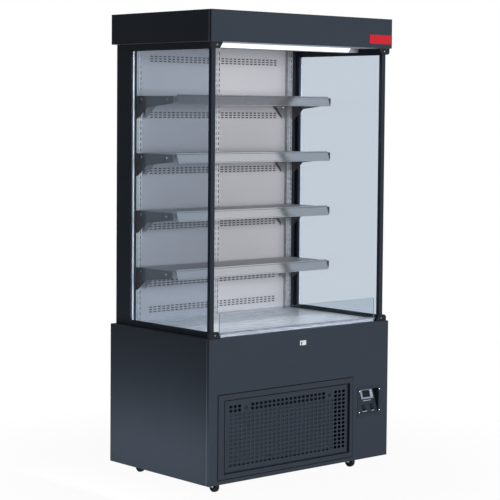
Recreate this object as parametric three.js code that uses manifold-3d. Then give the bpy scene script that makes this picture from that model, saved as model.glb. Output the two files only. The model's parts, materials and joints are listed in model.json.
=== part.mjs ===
// Open multideck display fridge: four shelves and a deck behind an open front, glazed sides, a low glass riser,
// the refrigeration in the base, a light and a night curtain in the header, on four swivel casters.
// Millimetres. X runs to the viewer's right, Y from front to back, Z up. The origin is on the floor, under the
// middle of the overall box. Inside the cabinet group, y is counted from the case's front face.
import * as THREE from 'three';
import { mergeGeometries, mergeVertices } from 'three/addons/utils/BufferGeometryUtils.js';
import Module from 'manifold-3d';

const wasm = await Module();
wasm.setup();

// ---------------------------------------------------------------- driving dimensions
const GAP = 0.3; // clearance between neighbouring pieces
const WELD = 1; // how far joined solids reach into each other
const TOTAL_HEIGHT = 2000;
const CASE_WIDTH = 1052; // base and header
const CASE_DEPTH = 678;
const SPACER_DEPTH = 18; // wall spacers behind the base
const CATCH_PROUD = 6; // the curtain catch stands furthest out in front
const SHEET = 1.5; // folded casing sheet
const FOLD = 15; // return flanges of the casing sheets

const BASE_BOTTOM = 37; // lower edge of the base panels above the floor
const BASE_HEIGHT = 611;
const HEADER_HEIGHT = 130;

const BODY_INSET = 19; // the glazed body stands in from the sides of the base
const BODY_BACK_INSET = 15;
const FRAME_THICKNESS = 22; // side frame, across the cabinet
const POST_SETBACK = 20; // front posts behind the case's front face
const POST_DEPTH = 18;
const REAR_BAND_WIDTH = 97; // closed rear part of each side
const RETAINER_WIDTH = 24; // strip on each side frame that covers the back panel's edge
const RETAINER_THICKNESS = 10;
const TOP_RAIL = 26;
const BOTTOM_RAIL = 22;
const SIDE_GLASS_THICKNESS = 16; // sealed double pane

const TUB_BOTTOM = 470;
const TUB_WALL = 36; // insulation round the evaporator
const TUB_FRONT_WALL = 20;
const TUB_REAR_WALL = 12;
const TUB_SIDE_INSET = 18; // the evaporator's space ends inside the glazed body
const REAR_WALL_THICKNESS = 50;
const DECK_THICKNESS = 8;
const LIP_DEPTH = 49; // return-air lip behind the glass riser
const LIP_THICKNESS = 12;
const LIP_SLOTS = 12;
const LIP_SLOT_LENGTH = 58;
const LIP_SLOT_WIDTH = 22;

const RISER_SIDE_CLEARANCE = 31; // each side clearance here is measured from the side frame's inner face
const RISER_HEIGHT = 106;
const RISER_THICKNESS = 6;

const UPRIGHT_WIDTH = 30;
const UPRIGHT_SHEET = 2; // a channel, open to the back panel
const UPRIGHT_SIDE_CLEARANCE = 41; // to the outer uprights' middle
const BACK_PANEL_SHEET = 1.5;
const UPRIGHT_PROUD = 17; // uprights stand in front of the back panel
const AIR_DUCT = 14; // between back panel and insulated rear wall
const AIR_SLOT_RISE = 57; // lowest row above the base
const AIR_SLOT_DROP = 86; // a row below each price rail's head
const TOP_AIR_SLOT_DROP = 58; // highest row below the header
const AIR_SLOTS_PER_PANEL = 7;
const AIR_SLOT_WIDTH = 34;
const AIR_SLOT_HEIGHT = 22;
const AIR_SLOT_PITCH = 54;

const SHELF_COUNT = 4;
const FIRST_RAIL_TOP = 258.5; // top of the lowest price rail above the base
const SHELF_PITCH = 249.5;
const SHELF_SIDE_CLEARANCE = 43.3;
const SHELF_FRONT = 322; // front flange behind the case's front face
const SHELF_SHEET = 1.5;
const SHELF_FLANGE = 22;
const SHELF_DROP = 6; // shelf top below its price rail's top
const RAIL_SIDE_CLEARANCE = 42;
const RAIL_HEIGHT = 45;
const RAIL_LEAN = 17; // the rail's foot stands this far in front of its head
const RAIL_THICKNESS = 2.5;
const BRACKET_SHEET = 2;
const BRACKET_REAR_HEIGHT = 98;
const BRACKET_CUT_HEIGHT = 51;
const BRACKET_NOSE_HEIGHT = 31;
const BRACKET_REAR_LENGTH = 12;
const BRACKET_CUT_LENGTH = 75; // where the slope under the bracket ends, from its rear
const GUSSET_SETBACK = 18; // rear gussets under each shelf, from the outer uprights' inner edges
const GUSSET_WIDTH = 80;
const GUSSET_FOOT = 4;

const CORNER_WIDTH = 65; // plastic corner bracket at each end of a post
const CORNER_HEIGHT = 27;
const CORNER_THICKNESS = 12;
const CORNER_OVERHANG = 13; // past the post's outer face
const CORNER_SLOPE = 16;
const CORNER_CHAMFER = 8;

// Distances from the sides of the case are named fromLeft and fromRight.
const GRILLE = { fromLeft: 51, fromRight: 222, bottom: 57, top: 411 };
const GRILLE_RIM = { left: 34, right: 20, bottom: 23, top: 26 };
const GRILLE_PROUD = 2;
const GRILLE_RECESS = 10;
const GRILLE_COLUMNS = 14;
const GRILLE_ROWS = 8;
const GRILLE_PITCH_X = 48.6;
const GRILLE_PITCH_Z = 32.8;
const GRILLE_HOLE_WIDTH = 33;
const GRILLE_HOLE_HEIGHT = 20;
const GRILLE_BLANKS = [2, 11]; // columns left blank in the top row, where the fasteners sit

const CONTROL = { width: 147, fromRight: 44, bottom: 228, top: 363 };
const CONTROL_PROUD = 2;
const CONTROL_RIM = 14; // flat rim round the recess
const CONTROL_WALL = 2.5;
const CONTROL_DEPTH_TOP = 38; // the recess floor slopes: deep at the top, shallow at the bottom
const CONTROL_DEPTH_BOTTOM = 4;
const CONTROLLER_WIDTH = 76;
const CONTROLLER_HEIGHT = 46;
const CONTROLLER_THICKNESS = 6;
const CONTROLLER_INSET = 43; // its left edge from the plate's
const CONTROLLER_UP = 61; // its lower edge, along the slope
const SCREEN_WIDTH = 46;
const SCREEN_HEIGHT = 30;
const SCREEN_INSET = 12; // its left edge from the controller's
const SCREEN_THICKNESS = 1;
const BUTTON_COUNT = 3;
const BUTTON_WIDTH = 10;
const BUTTON_HEIGHT = 6;
const BUTTON_PITCH = 10;
const BUTTON_CLEARANCE = 4; // to the screen
const BUTTON_PROUD = 1;
const BUTTON_THICKNESS = 2;
const BUTTON_POCKET = 2;
const ROCKER_WIDTH = 16;
const ROCKER_HEIGHT = 22;
const ROCKER_PROUD = 5.5;
const ROCKER_DIP = 3;
const ROCKER_BACK = 3;
const ROCKER_TILT = 7; // degrees either way
const ROCKER_UP = 24;
const ROCKER_INSETS = [54, 103]; // their middles from the plate's left edge

const LIGHT_SIDE_CLEARANCE = 97;
const LIGHT_SETBACK = 122;
const LIGHT_DEPTH = 40;
const LIGHT_DROP = 18;
const LIGHT_LEAN = 14;
const DIFFUSER_THICKNESS = 3;
const CEILING_SHEET = 2;
const HONEYCOMB_SETBACK = 170;
const HONEYCOMB_DEPTH = 80;
const HONEYCOMB_DROP = 16;

const CURTAIN_SIDE_CLEARANCE = 45;
const CURTAIN_BAR = { sideClearance: 39, depth: 12, height: 12, setback: 3 };
const CURTAIN_THICKNESS = 0.8;
const ROLLER_RADIUS = 18;
const ROLLER_PIN_RADIUS = 4;
const ROLLER_PIN_LENGTH = 6;
const ROLLER_SETBACK = 32;
const ROLLER_RISE = 25; // axis above the header's lower edge
const ROLLER_SIDES = 24;
const ROLLER_PLATE = 3;
const ROLLER_PLATE_RISE = 10; // above the roller's axis

const BADGE = { width: 133, fromRight: 10, rise: 18, height: 40, thickness: 2 };
const CATCH = { width: 36, height: 20, centreZ: 592, plate: 1.2, hookWidth: 18, hookHeight: 14 };

const WHEEL_RADIUS = 25;
const WHEEL_WIDTH = 18;
const WHEEL_CHAMFER = 3;
const WHEEL_SIDES = 20;
const AXLE_RADIUS = 4;
const CASTER_TRAIL = 18;
const CASTER = { fromLeft: 68, fromRight: 191, fromFront: 61, fromBack: 112 }; // swivel axes
const FORK_SHEET = 2.5;
const FORK_CLEARANCE = 2;
const FORK_WIDTH = 32;
const STEM_RADIUS = 6;
const RACE_RADIUS = 20;
const RACE_HEIGHT = 6;
const CASTER_PLATE = 64;
const PLATE_SHEET = 3;
const CHASSIS_BOTTOM = 72;
const CHASSIS_SHEET = 2;
const CHASSIS_POST = 30;

const COMPRESSOR = {
  fromRight: 276, fromBack: 248, radius: 88, height: 190, foot: 8, feetDepth: 140,
  baseRadius: 75, shoulderRadius: 70, crownRadius: 35, dome: 26,
};
const CONDENSER = { width: 620, fromLeft: 126, front: 36, depth: 52, bottom: 100, top: 372 };
const CONDENSER_FAN = { setback: 24, radius: 118, hub: 26, depth: 20, chord: 65, motorRadius: 34 };
const EVAPORATOR = { sideClearance: 75, rearClearance: 41, depth: 220, height: 112, saddle: 60 };
const EVAPORATOR_FAN = { lead: 100, drop: 71, radius: 58, hub: 18, depth: 18, chord: 32, motorRadius: 23 };
const COMPRESSOR_SIDES = 20;
const FAN_BLADES = 5;
const BLADE_SHEET = 2.5;
const BLADE_TILT = 23; // degrees
const BLADE_ROOT = 4; // how deep a blade is set in the hub
const FAN_SHAFT_RADIUS = 4;
const MOTOR_LENGTH = 42;
const MOTOR_FOOT_INSET = 8; // the foot is shorter than its motor at both ends
const BASE_PLATE = 3; // sheet that carries a coil and its fan motor
const INLET = { fromRight: 126, z: 120, radius: 14, bore: 6, length: 12 };
const SPACER = { width: 30, height: 98, centreZ: 560, inset: 20 };
const VENT_SLOTS = 8;
const VENT_LENGTH = 78;
const VENT_PITCH = 116;
const VENT_RISE = 180; // slots above the back panel's lower edge
const VENT_HEIGHT = 20;

// ---------------------------------------------------------------- what follows from them
const halfWidth = CASE_WIDTH / 2;
const baseTop = BASE_BOTTOM + BASE_HEIGHT;
const headerBottom = TOTAL_HEIGHT - HEADER_HEIGHT;
const bodyHalf = halfWidth - BODY_INSET;
const interiorHalf = bodyHalf - FRAME_THICKNESS;
const bodyBack = CASE_DEPTH - BODY_BACK_INSET;
const bodyBottom = baseTop + GAP;
const bodyTop = headerBottom - GAP;
const rearWallFront = bodyBack - REAR_WALL_THICKNESS;
const backPanelBack = rearWallFront - AIR_DUCT;
const backPanelFront = backPanelBack - BACK_PANEL_SHEET;
const uprightFront = backPanelFront - UPRIGHT_PROUD;
const deckTop = bodyBottom + DECK_THICKNESS;
const riserBack = POST_SETBACK + RISER_THICKNESS;
const lipBack = riserBack + GAP + LIP_DEPTH;
const insideBack = CASE_DEPTH - SHEET - GAP; // everything in the base ends in front of its back panel
const sideCavity = interiorHalf - TUB_SIDE_INSET;
const tubCavity = [FOLD + GAP + TUB_FRONT_WALL, rearWallFront - TUB_REAR_WALL];
const totalDepth = CATCH_PROUD + CASE_DEPTH + SPACER_DEPTH;
const shelfBack = uprightFront - GAP;
const riserHalf = interiorHalf - RISER_SIDE_CLEARANCE;
const uprightSpacing = interiorHalf - UPRIGHT_SIDE_CLEARANCE;
const shelfHalf = interiorHalf - SHELF_SIDE_CLEARANCE;
const railHalf = interiorHalf - RAIL_SIDE_CLEARANCE;
const lightHalf = interiorHalf - LIGHT_SIDE_CLEARANCE;
const curtainHalf = interiorHalf - CURTAIN_SIDE_CLEARANCE;
const rollerZ = headerBottom + ROLLER_RISE;
const railHeads = Array.from({ length: SHELF_COUNT }, (_, i) => baseTop + FIRST_RAIL_TOP + i * SHELF_PITCH);
const grille = {
  left: GRILLE.fromLeft - halfWidth,
  right: halfWidth - GRILLE.fromRight,
  bottom: GRILLE.bottom,
  top: GRILLE.top,
};
const grilleOpening = {
  left: grille.left + GRILLE_RIM.left,
  right: grille.right - GRILLE_RIM.right,
  bottom: grille.bottom + GRILLE_RIM.bottom,
  top: grille.top - GRILLE_RIM.top,
};
const controlRight = halfWidth - CONTROL.fromRight;
const control = {
  left: controlRight - CONTROL.width,
  right: controlRight,
  bottom: CONTROL.bottom,
  top: CONTROL.top,
};
const recess = {
  left: control.left + CONTROL_RIM,
  right: control.right - CONTROL_RIM,
  bottom: control.bottom + CONTROL_RIM,
  top: control.top - CONTROL_RIM,
};
const controlSlope = Math.atan2(CONTROL_DEPTH_TOP - CONTROL_DEPTH_BOTTOM, recess.top - recess.bottom);
const casterXs = { left: CASTER.fromLeft - halfWidth, right: halfWidth - CASTER.fromRight };
const casterYs = { front: CASTER.fromFront, rear: CASE_DEPTH - CASTER.fromBack };
const machineFloor = CHASSIS_BOTTOM + CHASSIS_SHEET + GAP;
const cavityFloor = TUB_BOTTOM + TUB_WALL + GAP;
const condenserLeft = CONDENSER.fromLeft - halfWidth;
const evaporatorFront = tubCavity[1] - EVAPORATOR.rearClearance - EVAPORATOR.depth;
const condenserFan = {
  ...CONDENSER_FAN,
  x: condenserLeft + CONDENSER.width / 2,
  y: CONDENSER.front + CONDENSER.depth + CONDENSER_FAN.setback,
  z: (CONDENSER.bottom + CONDENSER.top) / 2,
};
const evaporatorFan = {
  ...EVAPORATOR_FAN,
  x: 0,
  y: evaporatorFront - EVAPORATOR_FAN.lead,
  z: baseTop - EVAPORATOR_FAN.drop,
};

// ---------------------------------------------------------------- materials
function material(color, roughness, metalness = 0, more = {}) {
  return new THREE.MeshStandardMaterial({ color, roughness, metalness, ...more });
}

const charcoal = material(0x42474f, 0.5, 0.3);
const blackPaint = material(0x1e222a, 0.45, 0.2);
const blackPlastic = material(0x17181b, 0.5);
const greyPaint = material(0xb2b8c2, 0.45, 0.1);
const galvanised = material(0x8d9196, 0.45, 0.8);
const stainless = material(0xb9bcbf, 0.3, 0.9);
const polished = material(0xd0d3d6, 0.2, 1);
const foamSkin = material(0x33363b, 0.7);
const clearGlass = material(0xd8e6e2, 0.05, 0, { transparent: true, opacity: 0.3 });
const lightPlastic = material(0xf2f6fa, 0.4, 0, { emissive: 0xdfe9f5 });
const badgeRed = material(0xc41f2b, 0.35);
const screenBlack = material(0x0b0d10, 0.1);
const controllerGrey = material(0x6f7f90, 0.5);
const buttonGrey = material(0xc9ced4, 0.5);
const curtainCloth = material(0xc6cbd0, 0.8);
const coilMetal = material(0x9aa0a4, 0.5, 0.7);
const motorBlack = material(0x141518, 0.6, 0.2);

// ---------------------------------------------------------------- geometry helpers
function bare(geometry) {
  const plain = geometry.index ? geometry.clone() : mergeVertices(geometry);
  plain.deleteAttribute('normal');
  plain.deleteAttribute('uv');
  return mergeVertices(plain);
}

function block([x0, x1], [y0, y1], [z0, z1]) {
  const geometry = new THREE.BoxGeometry(x1 - x0, y1 - y0, z1 - z0);
  geometry.translate((x0 + x1) / 2, (y0 + y1) / 2, (z0 + z1) / 2);
  return bare(geometry);
}

function outline(points, holes = []) {
  const shape = new THREE.Shape(points.map(([a, b]) => new THREE.Vector2(a, b)));
  for (const hole of holes) {
    shape.holes.push(new THREE.Path(hole.map(([a, b]) => new THREE.Vector2(a, b))));
  }
  return shape;
}

function rectangle([a0, a1], [b0, b1]) {
  return [[a0, b0], [a1, b0], [a1, b1], [a0, b1]];
}

// An outline in Y and Z, extruded along X.
function extrudeX(points, [x0, x1], holes = []) {
  const geometry = new THREE.ExtrudeGeometry(outline(points, holes), { depth: x1 - x0, bevelEnabled: false });
  const toYZ = new THREE.Matrix4().makeBasis(
    new THREE.Vector3(0, 1, 0),
    new THREE.Vector3(0, 0, 1),
    new THREE.Vector3(1, 0, 0),
  );
  return bare(geometry.applyMatrix4(toYZ).translate(x0, 0, 0));
}

// An outline in X and Z, extruded along Y.
function extrudeY(points, [y0, y1]) {
  const geometry = new THREE.ExtrudeGeometry(outline(points), { depth: y1 - y0, bevelEnabled: false });
  return bare(geometry.rotateX(Math.PI / 2).translate(0, y1, 0));
}

function cylinder(radius, length, axis, [x, y, z], sides = 16) {
  const geometry = new THREE.CylinderGeometry(radius, radius, length, sides);
  if (axis === 'x') geometry.rotateZ(Math.PI / 2);
  if (axis === 'z') geometry.rotateX(Math.PI / 2);
  return bare(geometry.translate(x, y, z));
}

function solid(geometry) {
  const { position } = geometry.attributes;
  return new wasm.Manifold(new wasm.Mesh({
    numProp: 3,
    vertProperties: new Float32Array(position.array),
    triVerts: new Uint32Array(geometry.index.array),
  }));
}

function toGeometry(manifold) {
  const mesh = manifold.getMesh();
  const geometry = new THREE.BufferGeometry();
  geometry.setAttribute('position', new THREE.BufferAttribute(mesh.vertProperties, 3));
  geometry.setIndex(new THREE.BufferAttribute(mesh.triVerts, 1));
  return geometry;
}

function join(first, ...others) {
  return toGeometry(others.reduce((sum, other) => sum.add(solid(other)), solid(first)));
}

function cut(first, ...others) {
  return toGeometry(others.reduce((rest, other) => rest.subtract(solid(other)), solid(first)));
}

// A sheet standing in X and Z, with holes given as [x range, z range].
function perforated(xs, ys, zs, holes) {
  const through = [ys[0] - 1, ys[1] + 1];
  return cut(block(xs, ys, zs), together(...holes.map(([x, z]) => block(x, through, z))));
}

// Solids that stay apart, handled as one.
function together(...geometries) {
  return mergeGeometries(geometries);
}

function mirrored(make) {
  return [-1, 1].map(make);
}

// A range along X on one side of the cabinet: side -1 is the left one.
function sideRange(side, near, far) {
  return side < 0 ? [-far, -near] : [near, far];
}

const cabinet = new THREE.Group();
cabinet.position.y = -totalDepth / 2 + CATCH_PROUD;

function part(name, geometry, look, group = cabinet) {
  const mesh = new THREE.Mesh(geometry, look.clone());
  mesh.name = name;
  group.add(mesh);
  return mesh;
}

// ---------------------------------------------------------------- base casing
function addBaseCasing() {
  const heights = [BASE_BOTTOM, baseTop];
  for (const side of [-1, 1]) {
    const outer = side * halfWidth;
    const inner = side * (halfWidth - SHEET);
    const lip = side * (halfWidth - FOLD);
    const channel = [
      [outer, heights[0]], [outer, heights[1]], [lip, heights[1]], [lip, heights[1] - SHEET],
      [inner, heights[1] - SHEET], [inner, heights[0] + SHEET], [lip, heights[0] + SHEET], [lip, heights[0]],
    ];
    const name = side < 0 ? 'base_left_panel' : 'base_right_panel';
    part(name, extrudeY(channel, [FOLD + GAP, insideBack]), charcoal);
  }
  const across = [-halfWidth, halfWidth];
  const tray = cut(
    block(across, [0, FOLD], heights),
    block([-halfWidth + SHEET, halfWidth - SHEET], [SHEET, FOLD + 1], [heights[0] + SHEET, heights[1] - SHEET]),
    openingBlock(grilleOpening, SHEET + GAP),
    openingBlock(recess, GAP + CONTROL_WALL),
  );
  part('base_front_panel', tray, charcoal);
  addBackPanel(heights);
}

// A block through the front sheet, larger than the given frame by margin on every side.
function openingBlock(frame, margin) {
  return block(
    [frame.left - margin, frame.right + margin],
    [-1, SHEET + 1],
    [frame.bottom - margin, frame.top + margin],
  );
}

function addBackPanel(heights) {
  const foot = heights[0] + VENT_RISE;
  const slots = [];
  for (let i = 0; i < VENT_SLOTS; i += 1) {
    const x = (i - (VENT_SLOTS - 1) / 2) * VENT_PITCH;
    slots.push([[x - VENT_LENGTH / 2, x + VENT_LENGTH / 2], [foot, foot + VENT_HEIGHT]]);
  }
  const plate = perforated([-halfWidth, halfWidth], [CASE_DEPTH - SHEET, CASE_DEPTH], heights, slots);
  const spacers = mirrored((side) => block(
    sideRange(side, halfWidth - SPACER.inset - SPACER.width, halfWidth - SPACER.inset),
    [CASE_DEPTH - SHEET / 2, CASE_DEPTH + SPACER_DEPTH],
    [SPACER.centreZ - SPACER.height / 2, SPACER.centreZ + SPACER.height / 2],
  ));
  part('base_back_panel', join(plate, ...spacers), charcoal);
}

function addChassis() {
  const halfPan = halfWidth - SHEET - GAP;
  const pan = block([-halfPan, halfPan], [SHEET + GAP, insideBack],
    [CHASSIS_BOTTOM, CHASSIS_BOTTOM + CHASSIS_SHEET]);
  const solids = [];
  const postHeights = [CHASSIS_BOTTOM, TUB_BOTTOM - GAP];
  const near = halfPan - CHASSIS_POST - FOLD;
  for (const side of [-1, 1]) {
    for (const y of [FOLD + GAP, insideBack - CHASSIS_POST]) {
      solids.push(block(sideRange(side, near, near + CHASSIS_POST), [y, y + CHASSIS_POST], postHeights));
    }
  }
  for (const x of Object.values(casterXs)) {
    for (const y of Object.values(casterYs)) {
      solids.push(casterPlate(x, y));
    }
  }
  part('base_chassis', join(pan, ...solids), galvanised);
}

// A plate welded under the chassis with the swivel's race below it.
function casterPlate(x, y) {
  const half = CASTER_PLATE / 2;
  const plateBottom = CHASSIS_BOTTOM - PLATE_SHEET;
  const plate = block([x - half, x + half], [y - half, y + half],
    [plateBottom, CHASSIS_BOTTOM + CHASSIS_SHEET / 2]);
  const race = cylinder(RACE_RADIUS, RACE_HEIGHT + WELD, 'z', [x, y, plateBottom - (RACE_HEIGHT - WELD) / 2]);
  const bore = cylinder(STEM_RADIUS + GAP, RACE_HEIGHT + WELD, 'z', [x, y, plateBottom - RACE_HEIGHT / 2]);
  return cut(join(plate, race), bore);
}

// ---------------------------------------------------------------- grille and controls
function addGrille() {
  const { left, right, bottom, top } = grilleOpening;
  const ring = block([grille.left, grille.right], [-GRILLE_PROUD, -GAP], [grille.bottom, grille.top]);
  const sleeve = block([left - SHEET, right + SHEET], [-GRILLE_PROUD, GRILLE_RECESS + FOLD / 2],
    [bottom - SHEET, top + SHEET]);
  const opening = block([left, right], [-GRILLE_PROUD - 1, GRILLE_RECESS + FOLD], [bottom, top]);
  part('grille_frame', cut(join(ring, sleeve), opening), charcoal);

  const holes = [];
  const middleX = (left + right) / 2;
  const middleZ = (bottom + top) / 2;
  for (let row = 0; row < GRILLE_ROWS; row += 1) {
    for (let column = 0; column < GRILLE_COLUMNS; column += 1) {
      const blank = row === GRILLE_ROWS - 1 && GRILLE_BLANKS.includes(column);
      if (!blank) holes.push(grilleHole(grilleX(middleX, column), grilleZ(middleZ, row)));
    }
  }
  const plate = perforated([left + GAP, right - GAP], [GRILLE_RECESS, GRILLE_RECESS + SHEET],
    [bottom + GAP, top - GAP], holes);
  part('grille_panel', plate, charcoal);
}

function grilleX(middle, column) {
  return middle + (column - (GRILLE_COLUMNS - 1) / 2) * GRILLE_PITCH_X;
}

function grilleZ(middle, row) {
  return middle + (row - (GRILLE_ROWS - 1) / 2) * GRILLE_PITCH_Z;
}

function grilleHole(x, z) {
  const halfW = GRILLE_HOLE_WIDTH / 2;
  const halfH = GRILLE_HOLE_HEIGHT / 2;
  return [[x - halfW, x + halfW], [z - halfH, z + halfH]];
}

// The sloping floor of the control recess: local x is the cabinet's, local z runs up the slope, -y faces out.
const controlFace = new THREE.Group();
controlFace.position.set(0, CONTROL_DEPTH_BOTTOM, recess.bottom);
controlFace.rotation.x = -controlSlope;
cabinet.add(controlFace);

function addControlHousing() {
  const wall = CONTROL_WALL;
  const plate = block([control.left, control.right], [-CONTROL_PROUD, -GAP], [control.bottom, control.top]);
  const shell = extrudeX([
    [-CONTROL_PROUD / 2, recess.bottom - wall], [-CONTROL_PROUD / 2, recess.top + wall],
    [CONTROL_DEPTH_TOP + wall, recess.top + wall], [CONTROL_DEPTH_BOTTOM + wall, recess.bottom - wall],
  ], [recess.left - wall, recess.right + wall]);
  const pocket = extrudeX([
    [-CONTROL_PROUD - 1, recess.bottom], [-CONTROL_PROUD - 1, recess.top],
    [CONTROL_DEPTH_TOP, recess.top], [CONTROL_DEPTH_BOTTOM, recess.bottom],
  ], [recess.left, recess.right]);
  const swing = Math.hypot(ROCKER_HEIGHT / 2, ROCKER_PROUD) + GAP;
  const rockerHoles = ROCKER_INSETS.map((inset) => {
    const x = control.left + inset;
    const hole = block(
      [x - ROCKER_WIDTH / 2 - GAP, x + ROCKER_WIDTH / 2 + GAP],
      [-wall, 3 * wall],
      [ROCKER_UP - swing, ROCKER_UP + swing],
    );
    controlFace.updateMatrix();
    return hole.applyMatrix4(controlFace.matrix);
  });
  part('control_housing', cut(join(plate, shell), pocket, ...rockerHoles), blackPlastic);
}

function addController() {
  const face = -GAP - CONTROLLER_THICKNESS;
  const middle = CONTROLLER_UP + CONTROLLER_HEIGHT / 2;
  const left = control.left + CONTROLLER_INSET;
  const body = block([left, left + CONTROLLER_WIDTH], [face, -GAP],
    [CONTROLLER_UP, CONTROLLER_UP + CONTROLLER_HEIGHT]);
  const screenXs = [left + SCREEN_INSET, left + SCREEN_INSET + SCREEN_WIDTH];
  const screenZs = [middle - SCREEN_HEIGHT / 2, middle + SCREEN_HEIGHT / 2];
  const screenPocket = block(widened(screenXs), [face - 1, face + SCREEN_THICKNESS], widened(screenZs));
  const buttonLeft = screenXs[1] + BUTTON_CLEARANCE;
  const buttonXs = [buttonLeft, buttonLeft + BUTTON_WIDTH];
  const pockets = [];
  for (let i = 0; i < BUTTON_COUNT; i += 1) {
    const z = middle + (i - (BUTTON_COUNT - 1) / 2) * BUTTON_PITCH;
    const buttonZs = [z - BUTTON_HEIGHT / 2, z + BUTTON_HEIGHT / 2];
    const button = block(buttonXs, [face - BUTTON_PROUD, face + BUTTON_THICKNESS - BUTTON_PROUD], buttonZs);
    part(`controller_button_${i + 1}`, button, buttonGrey, controlFace);
    pockets.push(block(widened(buttonXs), [face - 1, face + BUTTON_POCKET], widened(buttonZs)));
  }
  part('controller_body', cut(body, screenPocket, ...pockets), controllerGrey, controlFace);
  const screen = block(screenXs, [face - GAP, face + SCREEN_THICKNESS - GAP], screenZs);
  part('controller_screen', screen, screenBlack, controlFace);
}

function widened([low, high]) {
  return [low - GAP, high + GAP];
}

function addRockers() {
  const half = ROCKER_HEIGHT / 2;
  const profile = [
    [-ROCKER_PROUD, -half], [-ROCKER_PROUD + ROCKER_DIP, 0], [-ROCKER_PROUD, half],
    [ROCKER_BACK, half - ROCKER_DIP], [ROCKER_BACK, ROCKER_DIP - half],
  ];
  ROCKER_INSETS.forEach((inset, i) => {
    const rocker = part(['rocker_left', 'rocker_right'][i],
      extrudeX(profile, [-ROCKER_WIDTH / 2, ROCKER_WIDTH / 2]), blackPlastic, controlFace);
    rocker.position.set(control.left + inset, 0, ROCKER_UP);
    rocker.rotation.x = THREE.MathUtils.degToRad(-ROCKER_TILT);
  });
}

function addCatch() {
  const { width, height, centreZ, plate, hookWidth, hookHeight } = CATCH;
  const foot = centreZ - height / 2;
  const back = block([-width / 2, width / 2], [-GAP - plate, -GAP], [foot, foot + height]);
  const hook = extrudeX([
    [-GAP, foot], [-CATCH_PROUD, foot], [-CATCH_PROUD, foot + hookHeight],
    [plate - CATCH_PROUD, foot + hookHeight], [plate - CATCH_PROUD, foot + 2 * plate], [-GAP, foot + 2 * plate],
  ], [-hookWidth / 2, hookWidth / 2]);
  part('curtain_catch', join(back, hook), polished);
}

// ---------------------------------------------------------------- cold compartment
function addTubAndDeck() {
  const half = halfWidth - FOLD - GAP;
  const tub = cut(
    block([-half, half], [FOLD + GAP, insideBack], [TUB_BOTTOM, baseTop]),
    block([-sideCavity, sideCavity], tubCavity, [TUB_BOTTOM + TUB_WALL, baseTop + 1]),
  );
  part('insulated_tub', tub, foamSkin);
  const across = [-interiorHalf + GAP, interiorHalf - GAP];
  const deck = block(across, [lipBack + GAP, backPanelFront - GAP], [bodyBottom, deckTop]);
  part('deck_pan', deck, stainless);
  const slots = [];
  const pitch = (2 * interiorHalf) / LIP_SLOTS;
  const slotY = riserBack + GAP + LIP_DEPTH / 2;
  for (let i = 0; i < LIP_SLOTS; i += 1) {
    const x = -interiorHalf + (i + 0.5) * pitch;
    slots.push(block(
      [x - LIP_SLOT_LENGTH / 2, x + LIP_SLOT_LENGTH / 2],
      [slotY - LIP_SLOT_WIDTH / 2, slotY + LIP_SLOT_WIDTH / 2],
      [bodyBottom - 1, bodyBottom + LIP_THICKNESS + 1],
    ));
  }
  const lip = block(across, [riserBack + GAP, lipBack], [bodyBottom, bodyBottom + LIP_THICKNESS]);
  part('front_lip', cut(lip, ...slots), greyPaint);
  part('front_glass', block([-riserHalf, riserHalf], [POST_SETBACK, riserBack],
    [bodyBottom, bodyBottom + RISER_HEIGHT]), clearGlass);
}

function addRear() {
  const across = [-interiorHalf + GAP, interiorHalf - GAP];
  part('rear_wall', block(across, [rearWallFront, bodyBack], [bodyBottom, bodyTop]), foamSkin);

  for (const [name, x] of [['left', -uprightSpacing], ['centre', 0], ['right', uprightSpacing]]) {
    const half = UPRIGHT_WIDTH / 2;
    const hollow = half - UPRIGHT_SHEET;
    part(`upright_${name}`, cut(
      block([x - half, x + half], [uprightFront, backPanelFront - GAP], [deckTop + GAP, bodyTop]),
      block([x - hollow, x + hollow], [uprightFront + UPRIGHT_SHEET, backPanelFront], [deckTop, bodyTop + 1]),
    ), galvanised);
  }
  const middle = uprightSpacing / 2;
  const belowRails = railHeads.map((head) => head - AIR_SLOT_DROP);
  const rows = [baseTop + AIR_SLOT_RISE, ...belowRails, bodyTop - TOP_AIR_SLOT_DROP];
  const slots = [];
  for (const z of rows) {
    for (let i = 0; i < AIR_SLOTS_PER_PANEL; i += 1) {
      const x = middle + (i - (AIR_SLOTS_PER_PANEL - 1) / 2) * AIR_SLOT_PITCH;
      slots.push([[x - AIR_SLOT_WIDTH / 2, x + AIR_SLOT_WIDTH / 2],
        [z - AIR_SLOT_HEIGHT / 2, z + AIR_SLOT_HEIGHT / 2]]);
    }
  }
  const everySlot = slots.concat(slots.map(([x, z]) => [[-x[1], -x[0]], z]));
  const sheet = perforated(across, [backPanelFront, backPanelBack], [bodyBottom, bodyTop], everySlot);
  part('back_panel', sheet, greyPaint);
}

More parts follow.
